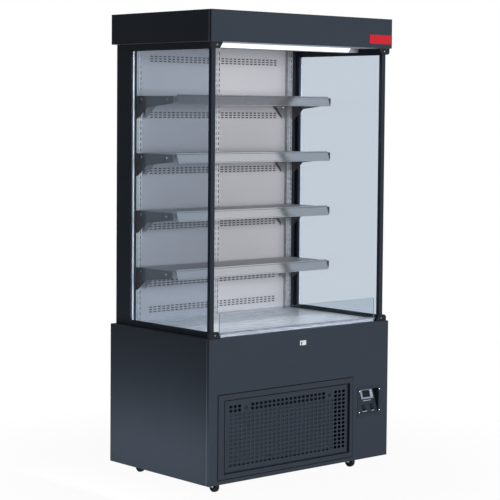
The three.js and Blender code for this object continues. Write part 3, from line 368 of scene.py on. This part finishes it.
def dress(node, width, looks=None, choose=None, segments=2, angle=30, planes=()):
    """The node's own shape with rounded edges; choose(face centre, normal) gives the index in looks. planes are
    (point, normal) pairs that part faces first, where one finish ends inside a flat face."""
    bm = node_mesh(node)
    soften(bm, width, segments, angle)
    for point, normal in planes:
        bmesh.ops.bisect_plane(bm, geom=bm.verts[:] + bm.edges[:] + bm.faces[:], plane_co=point, plane_no=normal)
    if choose:
        bm.normal_update()
        for face in bm.faces:
            face.material_index = choose(face.calc_center_median(), face.normal)
    slot = SLOT_OF[node]
    body = next(b for b, members in frame["record"]["behaviour"]["bodies"].items() if node in members)
    return piece(f"{node}_finish", bm, looks or [LOOKS[slot]], body, (node,))


def near(value, places):
    return min(abs(value - place) for place in places) < MM


def stops(low, high, centres, size):
    """Cell edges along one axis: a margin, one cell of size round each centre, and what is left between."""
    edges = [low]
    for centre in centres:
        for edge in (centre - size / 2, centre + size / 2):
            if edge - edges[-1] > MERGE:
                edges.append(edge)
    if high - edges[-1] > MERGE:
        edges.append(high)
    return edges


def punched_sheet(bm, xs, zs, y, thickness, hole_at, corner):
    """A sheet in X and Z whose front is at y, in cells between xs and zs. hole_at(x, z) gives the (width, height) of
    the hole in the cell with that middle, or None. corner says how far out a hole's corner points lie, as shares of
    its half sizes."""
    def vertex(x, z):
        return bm.verts.new((x, y, z))

    for x0, x1 in zip(xs, xs[1:]):
        for z0, z1 in zip(zs, zs[1:]):
            xm, zm = (x0 + x1) / 2, (z0 + z1) / 2
            rim = [(x0, z0), (xm, z0), (x1, z0), (x1, zm), (x1, z1), (xm, z1), (x0, z1), (x0, zm)]
            outer = [vertex(*point) for point in rim]
            hole = hole_at(xm, zm)
            if hole is None:
                bm.faces.new(outer)
                continue
            w, h = hole[0] / 2, hole[1] / 2
            cw, ch = w * corner[0], h * corner[1]
            ring = [(-cw, -ch), (0, -h), (cw, -ch), (w, 0), (cw, ch), (0, h), (-cw, ch), (-w, 0)]
            inner = [vertex(xm + a, zm + b) for a, b in ring]
            for i in range(8):
                j = (i + 1) % 8
                bm.faces.new((outer[i], outer[j], inner[j], inner[i]))
    bmesh.ops.remove_doubles(bm, verts=bm.verts, dist=MERGE)
    bmesh.ops.recalc_face_normals(bm, faces=bm.faces)
    bm.normal_update()
    if bm.faces[:][0].normal.y > 0:
        bmesh.ops.reverse_faces(bm, faces=bm.faces)
    front = bm.faces[:]
    back = bmesh.ops.duplicate(bm, geom=bm.verts[:] + bm.edges[:] + front)
    twin = back["vert_map"]
    for edge in [e for e in bm.edges if len(e.link_faces) == 1 and e.link_faces[0] in set(front)]:
        a, b = edge.verts
        bm.faces.new((a, b, twin[b], twin[a]))
    bmesh.ops.translate(bm, vec=(0, thickness, 0), verts=[v for v in back["geom"] if isinstance(v, bmesh.types.BMVert)])


def add_screw(bm, centre, radius, axis=(0, -1, 0)):
    """A domed screw head with a round recess in its top, standing on centre."""
    rise = radius * 0.55
    add_turned(bm, [(0, 0), (radius, 0), (radius, rise * 0.35), (radius * 0.8, rise * 0.8), (radius * 0.45, rise),
                    (radius * 0.3, rise * 0.45), (0, rise * 0.4)], centre, axis, 12)


def screws(name, places, radius, look="polished_steel", axis=(0, -1, 0)):
    bm = bmesh.new()
    for place in places:
        add_screw(bm, place, radius, axis)
    return piece(name, bm, [FINISHES[look]])


# ------------------------------------------------------------------ casing
FOLD = 15 * MM  # the front sheets are joined to the others this far behind the face
JOINT_REACH = 2 * MM  # how far from that joint lie its rounded edges, which get a painted highlight
STRAIGHT = 0.98  # a normal with no part above this is slanted, so its face is a rounded edge


def add_casing():
    # Rounded edges at the fold joint get a lighter colour than the paint: a painted highlight along the seam.
    def look(centre, normal):
        at_joint = abs(centre.y - FACE - FOLD) < JOINT_REACH
        slanted = max(abs(part) for part in normal) < STRAIGHT
        return 1 if at_joint and slanted else 0

    for node in ("base_left_panel", "base_right_panel", "base_front_panel"):
        dress(node, EDGE["sheet"], [LOOKS["charcoal_paint"], DIM_PAINTED_HIGHLIGHT], look)
    for node in ("header_front", "header_cover"):
        dress(node, EDGE["sheet"], [LOOKS["charcoal_paint"], BRIGHT_PAINTED_HIGHLIGHT], look)
    dress("base_back_panel", EDGE["sheet"])
    for node in ("base_chassis", "insulated_tub", "rear_wall"):
        dress(node, EDGE["casing"])
    dress("badge_plate", EDGE["plate"])
    dress("curtain_catch", EDGE["fine"])
    dress("cable_inlet", EDGE["casing"])


# ------------------------------------------------------------------ grille
GRILLE_COLUMNS = 28
GRILLE_ROWS = 15
GRILLE_PITCH = (24.3 * MM, 17.6 * MM)
GRILLE_HOLE = (18 * MM, 12.8 * MM)
GRILLE_FIRST = (-398 * MM, 108 * MM)  # the lowest left hole's middle
GRILLE_CORNER = (0.8, 0.82)
FASTENER_COLUMNS = ((3, 4), (23, 24))
FASTENER_X = (-313 * MM, 173 * MM)
FASTENER_Z = 344 * MM
FASTENER_RADIUS = 9 * MM
FASTENER_RIM = 1.5 * MM
FASTENER_CROWN = 2.4 * MM
FASTENER_SLOT = 1 * MM  # the height at which the round hollow in its middle ends
OPENING_SHADE_STRIP = (3 * MM, 0.5 * MM)  # width and thickness of the black strip round the rim's opening, painted shade in the gap there
FRAME_SHADE_STRIP = (3.2 * MM, 0.6 * MM)  # the same of the black strip round the rim, painted shade in the gap there


def add_frame_line(bm, low, high, width, y0, y1):
    """Four strips of width just inside the rectangle from low to high."""
    add_box(bm, (low.x, y0, low.z), (high.x, y1, low.z + width))
    add_box(bm, (low.x, y0, high.z - width), (high.x, y1, high.z))
    add_box(bm, (low.x, y0, low.z + width), (low.x + width, y1, high.z - width))
    add_box(bm, (high.x - width, y0, low.z + width), (high.x, y1, high.z - width))


def add_grille():
    dress("grille_frame", EDGE["rim"], [GRILLE_RIM])
    low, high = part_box("grille_panel")
    columns = [GRILLE_FIRST[0] + i * GRILLE_PITCH[0] for i in range(GRILLE_COLUMNS)]
    rows = [GRILLE_FIRST[1] + i * GRILLE_PITCH[1] for i in range(GRILLE_ROWS)]
    covered = [columns[i] for pair in FASTENER_COLUMNS for i in pair]

    def hole_at(x, z):
        hidden = z > rows[-3] + MM and near(x, covered)
        return GRILLE_HOLE if near(x, columns) and near(z, rows) and not hidden else None

    bm = bmesh.new()
    xs = stops(low.x, high.x, columns, GRILLE_PITCH[0])
    zs = stops(low.z, high.z, rows, GRILLE_PITCH[1])
    punched_sheet(bm, xs, zs, low.y, high.y - low.y, hole_at, GRILLE_CORNER)
    piece("grille_sheet", bm, [LOOKS["charcoal_paint"]], "cabinet", ("grille_panel",))
    bm = bmesh.new()
    for x in FASTENER_X:
        centre = (x, low.y, FASTENER_Z)
        profile = [
            (0, 0), (FASTENER_RADIUS, 0), (FASTENER_RADIUS, FASTENER_RIM), (FASTENER_RADIUS * 0.8, FASTENER_CROWN),
            (FASTENER_RADIUS * 0.3, FASTENER_CROWN), (FASTENER_RADIUS * 0.25, FASTENER_SLOT), (0, FASTENER_SLOT),
        ]
        add_turned(bm, profile, centre, (0, -1, 0), 20)
    piece("grille_fasteners", bm, [LOOKS["black_plastic"]])
    # Black strips in the gaps round the grille's opening and round its rim: painted shade lines.
    bm = bmesh.new()
    rim_low, rim_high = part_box("grille_frame")
    for inner_low, inner_high, (width, thickness), y in (
        (low, high, OPENING_SHADE_STRIP, rim_low.y),
        (rim_low, rim_high, FRAME_SHADE_STRIP, FACE),
    ):
        margin = Vector((width, 0, width))
        add_frame_line(bm, inner_low - margin, inner_high + margin, width, y - thickness, y)
    piece("grille_painted_shade_strips", bm, [BLACK_FOAM_AND_PAINTED_SHADE])


# ------------------------------------------------------------------ controls
CONTROL_RIM = 14 * MM
CONTROL_DEPTH = (4 * MM, 38 * MM)  # the recess floor's depth at its foot and at its head
CONTROL_SCREW_RADIUS = 3.2 * MM
SCREW_INSETS = (12 * MM, 10 * MM, 20 * MM)  # from the plate's left side, its right side, and its head and foot
LABEL_THICKNESS = 0.25 * MM
# Each label on the sloping floor: its middle, its height up the slope, its width and its own height.
LABELS = ((415, 54, 50, 2.5), (389, 7, 27, 2.5), (440, 7, 17, 2.5))


def control_floor():
    """The frame of the sloping floor: x along the cabinet, z up the slope, -y out of it."""
    low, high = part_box("control_housing")
    rise = (high.z - low.z) - 2 * CONTROL_RIM
    slope = math.atan2(CONTROL_DEPTH[1] - CONTROL_DEPTH[0], rise)
    return Matrix.Translation((0, FACE + CONTROL_DEPTH[0], low.z + CONTROL_RIM)) @ Matrix.Rotation(-slope, 4, "X")


def add_controls():
    dress("control_housing", EDGE["plate"], [CONTROL_PLATE])
    dress("controller_body", EDGE["box"], segments=3)
    dress("controller_screen", EDGE["screen"])
    for i in (1, 2, 3):
        dress(f"controller_button_{i}", EDGE["small"], segments=3)
    for name in SIDES:
        dress(f"rocker_{name}", EDGE["plate"], segments=3, angle=12)
    low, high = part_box("control_housing")
    left, right, upright = SCREW_INSETS
    places = [(x, low.y, z) for x in (low.x + left, high.x - right) for z in (low.z + upright, high.z - upright)]
    screws("control_screws", places, CONTROL_SCREW_RADIUS)
    bm = bmesh.new()
    floor = control_floor()
    for x, up, width, height in LABELS:
        corners = add_box(
            bm,
            ((x - width / 2) * MM, -LABEL_THICKNESS, (up - height / 2) * MM),
            ((x + width / 2) * MM, 0, (up + height / 2) * MM),
        )
        bmesh.ops.transform(bm, matrix=floor, verts=corners)
    piece("control_labels", bm, [LABEL_WHITE])


# ------------------------------------------------------------------ sides and riser
POST_SETBACK = 20 * MM
BRACKET_PROUD = 0.4 * MM  # a face further than this in front of the posts belongs to a corner bracket
BRACKET_SCREW_INSET = (32 * MM, 13 * MM)  # from the frame's outer face, and from its foot and head
SPACER_BAR = 10 * MM  # width of the glazing's spacer bar
SEAL = 3 * MM
PANE = 4 * MM
BRACKET_SCREW_RADIUS = 3.6 * MM
FACING = 0.4  # a normal with more than this share towards a side counts as facing it


def add_side_frames():
    post_front = FACE + POST_SETBACK

    def look(centre, _normal):
        return 1 if centre.y < post_front - BRACKET_PROUD else 0

    for name in SIDES:
        dress(f"side_frame_{name}", EDGE["frame"], [LOOKS["black_paint"], LOOKS["black_plastic"]], look, segments=3)
    low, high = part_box("side_frame_right")
    inset, upright = BRACKET_SCREW_INSET
    across = high.x - inset
    places = [(side * across, low.y, z) for side in SIDES.values() for z in (low.z + upright, high.z - upright)]
    screws("corner_screws", places, BRACKET_SCREW_RADIUS, "dark_steel")


def add_side_glass():
    """Two panes with a spacer bar along the rear edge and a thin dark seal round the others."""
    for name in SIDES:
        node = f"side_glass_{name}"
        low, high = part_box(node)
        for side, x0, x1 in (("inner", low.x, low.x + PANE), ("outer", high.x - PANE, high.x)):
            bm = bmesh.new()
            add_box(bm, (x0, low.y, low.z), (x1, high.y, high.z))
            soften(bm, EDGE["fine"])
            piece(f"{node}_{side}", bm, [LOOKS["clear_glass"]], "cabinet", (node,))
        x0, x1 = low.x + PANE, high.x - PANE
        bm = bmesh.new()
        add_box(bm, (x0, high.y - SPACER_BAR, low.z + SEAL), (x1, high.y, high.z - SEAL))
        piece(f"{node}_spacer", bm, [SPACER_ALUMINIUM])
        bm = bmesh.new()
        add_box(bm, (x0, low.y, low.z), (x1, low.y + SEAL, high.z))
        add_box(bm, (x0, low.y + SEAL, low.z), (x1, high.y, low.z + SEAL))
        add_box(bm, (x0, low.y + SEAL, high.z - SEAL), (x1, high.y, high.z))
        piece(f"{node}_seal", bm, [SEALANT_AND_PAINTED_SHADE])


def add_riser():
    # The pane's ends get the green edge colour with its painted glow; its top edge gets the darker copy, painted shade.
    def look(_centre, normal):
        return 1 if abs(normal.x) > FACING else 2 if normal.z > FACING else 0

    dress("front_glass", EDGE["small"], [LOOKS["clear_glass"], GLASS_EDGE_WITH_PAINTED_GLOW, GLASS_EDGE_PAINTED_SHADE], look)
    dress("front_lip", EDGE["plate"])
    dress("deck_pan", EDGE["deep"])


# ------------------------------------------------------------------ back of the cold space
DASH = (18 * MM, 5 * MM)
DASH_PITCH = (24.8 * MM, 10.6 * MM)
DASHES_EACH_SIDE = 14
DASH_ROWS = 3
FIRST_DASH = 42 * MM
DASH_CENTRES = (705, 820, 1072, 1319, 1566, 1812)  # the middle row of each cluster, mm above the floor
DASH_CORNER = (0.86, 1.0)
UPRIGHT_SLOT = (5 * MM, 16 * MM)
UPRIGHT_PITCH = 24 * MM
UPRIGHT_COLUMN = 7.5 * MM
UPRIGHT_SHEET = 2 * MM
UPRIGHT_CORNER = (0.8, 0.95)


def add_back():
    low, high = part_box("back_panel")
    half = [FIRST_DASH + i * DASH_PITCH[0] for i in range(DASHES_EACH_SIDE)]
    columns = [-x for x in reversed(half)] + half
    rows = [z * MM + (i - 1) * DASH_PITCH[1] for z in DASH_CENTRES for i in range(DASH_ROWS)]

    def hole_at(x, z):
        return DASH if near(x, columns) and near(z, rows) else None

    bm = bmesh.new()
    xs = stops(low.x, high.x, columns, DASH_PITCH[0])
    zs = stops(low.z, high.z, rows, DASH_PITCH[1])
    punched_sheet(bm, xs, zs, low.y, high.y - low.y, hole_at, DASH_CORNER)
    piece("back_sheet", bm, [LOOKS["grey_paint"]], "cabinet", ("back_panel",))
    for name in ("left", "centre", "right"):
        add_upright(f"upright_{name}")


def add_upright(node):
    low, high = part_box(node)
    middle = (low.x + high.x) / 2
    columns = [middle - UPRIGHT_COLUMN, middle + UPRIGHT_COLUMN]
    count = int((high.z - low.z) / UPRIGHT_PITCH)
    rows = [low.z + (i + 0.5) * UPRIGHT_PITCH for i in range(count)]

    def hole_at(x, z):
        return UPRIGHT_SLOT if near(x, columns) and near(z, rows) else None

    bm = bmesh.new()
    xs = stops(low.x, high.x, columns, 2 * UPRIGHT_COLUMN)
    zs = stops(low.z, high.z, rows, UPRIGHT_PITCH)
    punched_sheet(bm, xs, zs, low.y, UPRIGHT_SHEET, hole_at, UPRIGHT_CORNER)
    for x0, x1 in ((low.x, low.x + UPRIGHT_SHEET), (high.x - UPRIGHT_SHEET, high.x)):
        add_box(bm, (x0, low.y + UPRIGHT_SHEET, low.z), (x1, high.y, high.z))
    piece(f"{node}_channel", bm, [LOOKS["galvanised"]], "cabinet", (node,))


# ------------------------------------------------------------------ shelves
RAIL_LIP = 1.2 * MM  # how far the rail's lips stand out of its face
RAIL_TOP_LIP = 6.5 * MM
RAIL_FOOT_LIP = 4 * MM
RAIL_SHEET = 2.5 * MM
RAIL_HEIGHT = 45 * MM
RAIL_LEAN = 17 * MM
RIVET_RADIUS = 4 * MM
SHELF_INSET = 18.4 * MM  # the tray ends this far inside the brackets' outer faces
SHELF_FLANGE = 22 * MM
GUSSET_SETBACK = 2 * MM  # the gussets' front, from the shelf's rear
GUSSET_PIN_SINK = 0.5 * MM
RAIL_UNDER = -0.2  # a face under the lip that looks down by more than this share gets black, painted shade
RAIL_UNDER_REACH = 2 * MM
HOOK_LENGTH = 68 * MM  # the bracket's rear part, which hooks into the upright
PIN_PLACES = (37 * MM, 214 * MM)  # pins in each bracket, from its rear
PIN_DROP = 16 * MM
GUSSET_PIN_X = 402 * MM
GUSSET_PIN_DROP = 45 * MM


def add_shelves():
    for i in SHELVES:
        add_shelf(f"shelf_{i}")
        add_rail(f"ticket_rail_{i}")


def add_shelf(node):
    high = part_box(node)[1]
    tray_end = high.x - SHELF_INSET
    foot = high.z - SHELF_FLANGE
    rear = high.y - GUSSET_SETBACK
    hook = high.y - HOOK_LENGTH

    # The brackets' rear part, by the upright, gets the darker copy of their metal: painted shade.
    def look(centre, _normal):
        in_gusset = centre.z < foot and centre.y > rear
        if abs(centre.x) > tray_end:
            return 2 if centre.y > hook else 1
        return 1 if in_gusset else 0

    planes = [((0, 0, foot), (0, 0, 1)), ((tray_end, 0, 0), (1, 0, 0)), ((-tray_end, 0, 0), (1, 0, 0)),
              ((0, hook, 0), (0, 1, 0))]
    dress(node, EDGE["tray"], [LOOKS["grey_paint"], BRACKET_GREY, BRACKET_PAINTED_SHADE], look, planes=planes)
    bm = bmesh.new()
    for side in SIDES.values():
        for behind in PIN_PLACES:
            add_screw(bm, (side * high.x, high.y - behind, high.z - PIN_DROP), RIVET_RADIUS, (side, 0, 0))
        add_screw(bm, (side * GUSSET_PIN_X, rear + GUSSET_PIN_SINK, high.z - GUSSET_PIN_DROP), RIVET_RADIUS, (0, -1, 0))
    piece(f"{node}_rivets", bm, [LOOKS["polished_steel"]])


def add_rail(node):
    low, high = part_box(node)
    lean = math.atan2(RAIL_LEAN, RAIL_HEIGHT)
    down = Vector((0, -math.sin(lean), -math.cos(lean)))
    out = Vector((0, -math.cos(lean), math.sin(lean)))
    length = math.hypot(RAIL_LEAN, RAIL_HEIGHT)
    thickness = RAIL_SHEET * math.cos(lean)
    head = Vector((0, high.y, high.z))
    section = [
        (0, 0), (length, 0), (length, thickness), (length - RAIL_FOOT_LIP, thickness),
        (length - RAIL_FOOT_LIP - RAIL_LIP, thickness - RAIL_LIP), (RAIL_TOP_LIP + RAIL_LIP, thickness - RAIL_LIP),
        (RAIL_TOP_LIP, thickness), (RAIL_LIP, thickness),
    ]
    outline = []
    for along, outward in section:
        point = head + down * along + out * outward
        outline.append((point.y, min(point.z, high.z)))
    bm = bmesh.new()
    add_prism(bm, outline, low.x, high.x)
    soften(bm, EDGE["rail"])
    bm.normal_update()
    lip_foot = high.z - RAIL_TOP_LIP
    # The faces under the rail's top lip get black: a painted shade line.
    for face in bm.faces:
        painted_shade_under_lip = (
            face.normal.z < RAIL_UNDER
            and abs(face.calc_center_median().z - lip_foot) < RAIL_UNDER_REACH
        )
        face.material_index = 1 if painted_shade_under_lip else 0
    piece(f"{node}_profile", bm, [RAIL_FINISH, SEALANT_AND_PAINTED_SHADE], "cabinet", (node,))


# ------------------------------------------------------------------ header
def add_header_inside():
    dress("header_ceiling", EDGE["plate"])
    dress("light_bar", EDGE["plate"])
    dress("light_diffuser", EDGE["plate"], segments=3)


# ------------------------------------------------------------------ curtain
CURTAIN_ROWS = 24
CURTAIN_COLUMNS = 40


def add_curtain():
    dress("curtain_bar", EDGE["bar"], segments=3)
    dress("curtain_roller", EDGE["small"], angle=40)
    low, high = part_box("curtain_sheet")
    bm = bmesh.new()
    front, back = [], []
    for row in range(CURTAIN_ROWS + 1):
        z = high.z + (low.z - high.z) * row / CURTAIN_ROWS
        for line, y in ((front, low.y), (back, high.y)):
            line.append([bm.verts.new((low.x + (high.x - low.x) * c / CURTAIN_COLUMNS, y, z))
                         for c in range(CURTAIN_COLUMNS + 1)])
    for row in range(CURTAIN_ROWS):
        for c in range(CURTAIN_COLUMNS):
            for line in (front, back):
                bm.faces.new((line[row][c], line[row][c + 1], line[row + 1][c + 1], line[row + 1][c]))
        for c in (0, CURTAIN_COLUMNS):
            bm.faces.new((front[row][c], front[row + 1][c], back[row + 1][c], back[row][c]))
    for row in (0, CURTAIN_ROWS):
        for c in range(CURTAIN_COLUMNS):
            bm.faces.new((front[row][c], front[row][c + 1], back[row][c + 1], back[row][c]))
    bmesh.ops.recalc_face_normals(bm, faces=bm.faces)
    mesh = bpy.data.meshes.new("curtain_cloth_sheet")
    bm.to_mesh(mesh)
    bm.free()
    mesh.materials.append(LOOKS["curtain_cloth"])
    cloth = bpy.data.objects.new("curtain_cloth_sheet", mesh)
    bpy.context.scene.collection.objects.link(cloth)
    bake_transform(cloth)
    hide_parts("curtain_sheet")


# ------------------------------------------------------------------ machinery
FIN_PITCH = 3 * MM
FIN_PROUD = 0.8 * MM
FIN_SHEET = 1.2 * MM
CORE_BOTTOM = 100 * MM
FOAM_BOTTOM = 325 * MM  # a dark foam strip closes the gap over the condenser's core
FOAM_DEPTH = 3 * MM


def add_machinery():
    dress("compressor", EDGE["deep"], angle=50)
    dress("condenser", EDGE["small"], [DARK_COIL], angle=40)
    dress("evaporator", EDGE["small"], angle=40)
    dress("condenser_fan", EDGE["fine"], angle=40)
    dress("evaporator_fan", EDGE["fine"], angle=40)
    low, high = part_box("condenser")
    count = int((high.x - low.x) / FIN_PITCH)
    bm = bmesh.new()
    for i in range(count):
        x = low.x + (i + 0.5) * FIN_PITCH
        add_box(bm, (x, low.y - FIN_PROUD, CORE_BOTTOM), (x + FIN_SHEET, low.y + FIN_SHEET, high.z))
    piece("condenser_fins", bm, [DARK_COIL])
    bm = bmesh.new()
    add_box(bm, (low.x, low.y - FOAM_DEPTH, FOAM_BOTTOM), (high.x, low.y, high.z))
    soften(bm, EDGE["fine"])
    piece("condenser_foam", bm, [BLACK_FOAM_AND_PAINTED_SHADE])


# ------------------------------------------------------------------ casters
WHEEL_SIDES = 40
HUB_RADIUS = 13 * MM
AXLE_RADIUS = 4 * MM


def add_casters():
    for end in ("front", "rear"):
        for side in SIDES:
            dress(f"caster_fork_{end}_{side}", EDGE["fine"], angle=35)
            add_wheel(f"caster_wheel_{end}_{side}", f"wheel_{end}_{side}")


def add_wheel(node, body):
    """A moulded wheel: rounded tread, a dished web and a hub round the axle."""
    low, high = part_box(node)
    centre = (low + high) / 2
    radius = (high.z - low.z) / 2
    half = (high.x - low.x) / 2
    profile = [
        (AXLE_RADIUS, -half), (HUB_RADIUS * 0.6, -half), (HUB_RADIUS * 0.7, -half * 0.5), (radius * 0.7, -half * 0.5),
        (radius * 0.78, -half), (radius - 3 * MM, -half), (radius - 0.8 * MM, -half + 1.2 * MM),
        (radius, -half + 4 * MM), (radius, half - 4 * MM), (radius - 0.8 * MM, half - 1.2 * MM),
        (radius - 3 * MM, half), (radius * 0.78, half), (radius * 0.7, half * 0.5), (HUB_RADIUS * 0.7, half * 0.5),
        (HUB_RADIUS * 0.6, half), (AXLE_RADIUS, half), (AXLE_RADIUS, -half),
    ]
    bm = bmesh.new()
    add_turned(bm, profile, centre, (1, 0, 0), WHEEL_SIDES)
    bmesh.ops.remove_doubles(bm, verts=bm.verts, dist=MERGE)
    piece(f"{node}_finish", bm, [LOOKS["black_plastic"]], body, (node,))


# ------------------------------------------------------------------ room
FLOOR_SIZE = 40
FLOOR_COLOUR = (0.5, 0.5, 0.51)
FLOOR_SHARE = 0.95  # how much of the floor's white is seen unshaded near the part
FLOOR_FADE = (0.7, 1.8)


def seen_directly(nodes, links):
    """1 for what the camera sees, straight, mirrored or through glass."""
    path = nodes.new("ShaderNodeLightPath")
    total = path.outputs["Is Camera Ray"]
    for other in ("Is Glossy Ray", "Is Transmission Ray"):
        largest = nodes.new("ShaderNodeMath")
        largest.operation = "MAXIMUM"
        links.new(total, largest.inputs[0])
        links.new(path.outputs[other], largest.inputs[1])
        total = largest.outputs["Value"]
    return total


def add_floor():
    """Pale floor: near the part it keeps a share of its shading, and further out it fades into the background."""
    material, nodes, links = new_material("floor_white")
    shader = nodes["Principled BSDF"]
    shader.inputs["Base Color"].default_value = (*FLOOR_COLOUR, 1)
    shader.inputs["Roughness"].default_value = 0.9
    shader.inputs["Specular IOR Level"].default_value = 0.1
    glow = nodes.new("ShaderNodeEmission")
    glow.inputs["Strength"].default_value = 1
    place = nodes.new("ShaderNodeTexCoord")
    distance = nodes.new("ShaderNodeVectorMath")
    distance.operation = "LENGTH"
    links.new(place.outputs["Object"], distance.inputs[0])
    fade = nodes.new("ShaderNodeMapRange")
    fade.interpolation_type = "SMOOTHSTEP"
    fade.inputs["From Min"].default_value = FLOOR_FADE[0]
    fade.inputs["From Max"].default_value = FLOOR_FADE[1]
    fade.inputs["To Min"].default_value = FLOOR_SHARE
    fade.inputs["To Max"].default_value = 1
    links.new(distance.outputs["Value"], fade.inputs["Value"])
    share = nodes.new("ShaderNodeMath")
    share.operation = "MULTIPLY"
    links.new(seen_directly(nodes, links), share.inputs[0])
    links.new(fade.outputs["Result"], share.inputs[1])
    mix = nodes.new("ShaderNodeMixShader")
    links.new(share.outputs["Value"], mix.inputs["Fac"])
    links.new(shader.outputs["BSDF"], mix.inputs[1])
    links.new(glow.outputs["Emission"], mix.inputs[2])
    links.new(mix.outputs["Shader"], nodes["Material Output"].inputs["Surface"])
    bm = bmesh.new()
    half = FLOOR_SIZE / 2
    bm.faces.new([bm.verts.new((x, y, 0)) for x, y in ((-half, -half), (half, -half), (half, half), (-half, half))])
    mesh = bpy.data.meshes.new("floor")
    bm.to_mesh(mesh)
    bm.free()
    mesh.materials.append(material)
    floor = bpy.data.objects.new("floor", mesh)
    bpy.context.scene.collection.objects.link(floor)


AMBIENT = (0.8, 0.83, 0.9)
AMBIENT_STRENGTH = 0.08


def add_world():
    world = bpy.data.worlds.new("world")
    world.use_nodes = True
    nodes, links = world.node_tree.nodes, world.node_tree.links
    ambient = nodes["Background"]
    ambient.inputs["Color"].default_value = (*AMBIENT, 1)
    ambient.inputs["Strength"].default_value = AMBIENT_STRENGTH
    white = nodes.new("ShaderNodeBackground")
    white.inputs["Color"].default_value = (1, 1, 1, 1)
    white.inputs["Strength"].default_value = 1
    mix = nodes.new("ShaderNodeMixShader")
    links.new(seen_directly(nodes, links), mix.inputs["Fac"])
    links.new(ambient.outputs["Background"], mix.inputs[1])
    links.new(white.outputs["Background"], mix.inputs[2])
    links.new(mix.outputs["Shader"], nodes["World Output"].inputs["Surface"])
    bpy.context.scene.world = world


# Each lamp: name, place, what it points at, width and height, power in watts.
LAMPS = (
    ("key_lamp", (0.6, -7.5, 1.9), (0, 0, 1.0), (2.4, 2.4), 510),
    ("top_lamp", (0, 0.2, 4.6), (0, 0, 1), (2.5, 2.5), 30),
    ("rear_lamp", (1.2, 6.5, 2.2), (0, 0, 1.0), (2.4, 2.4), 160),
    ("floor_lamp", (-0.88, 0.0, 0.12), (-0.5, 0.0, 0.12), (1.2, 0.12), 3.4),
    ("interior_lamp", (0, -0.2, 1.845), (0, -0.02, 0.6), (0.8, 0.03), 2.5),
    ("deck_lamp", (0, -0.1, 0.86), (0, -0.1, 0.5), (0.85, 0.05), 0.45),
)


def add_lamps():
    for name, place, target, (width, height), power in LAMPS:
        data = bpy.data.lights.new(name, "AREA")
        data.shape = "RECTANGLE"
        data.size = width
        data.size_y = height
        data.energy = power
        lamp = bpy.data.objects.new(name, data)
        lamp.location = place
        aim = Vector(target) - Vector(place)
        lamp.rotation_euler = aim.to_track_quat("-Z", "Y").to_euler()
        lamp.visible_camera = False
        lamp.visible_glossy = name == "key_lamp"
        bpy.context.scene.collection.objects.link(lamp)


# ------------------------------------------------------------------ making
add_camera()
add_casing()
add_grille()
add_controls()
add_side_frames()
add_side_glass()
add_riser()
add_back()
add_shelves()
add_header_inside()
add_curtain()
add_machinery()
add_casters()
add_floor()
add_world()
add_lamps()
bpy.context.scene.view_settings.view_transform = "Standard"
bpy.context.view_layer.update()
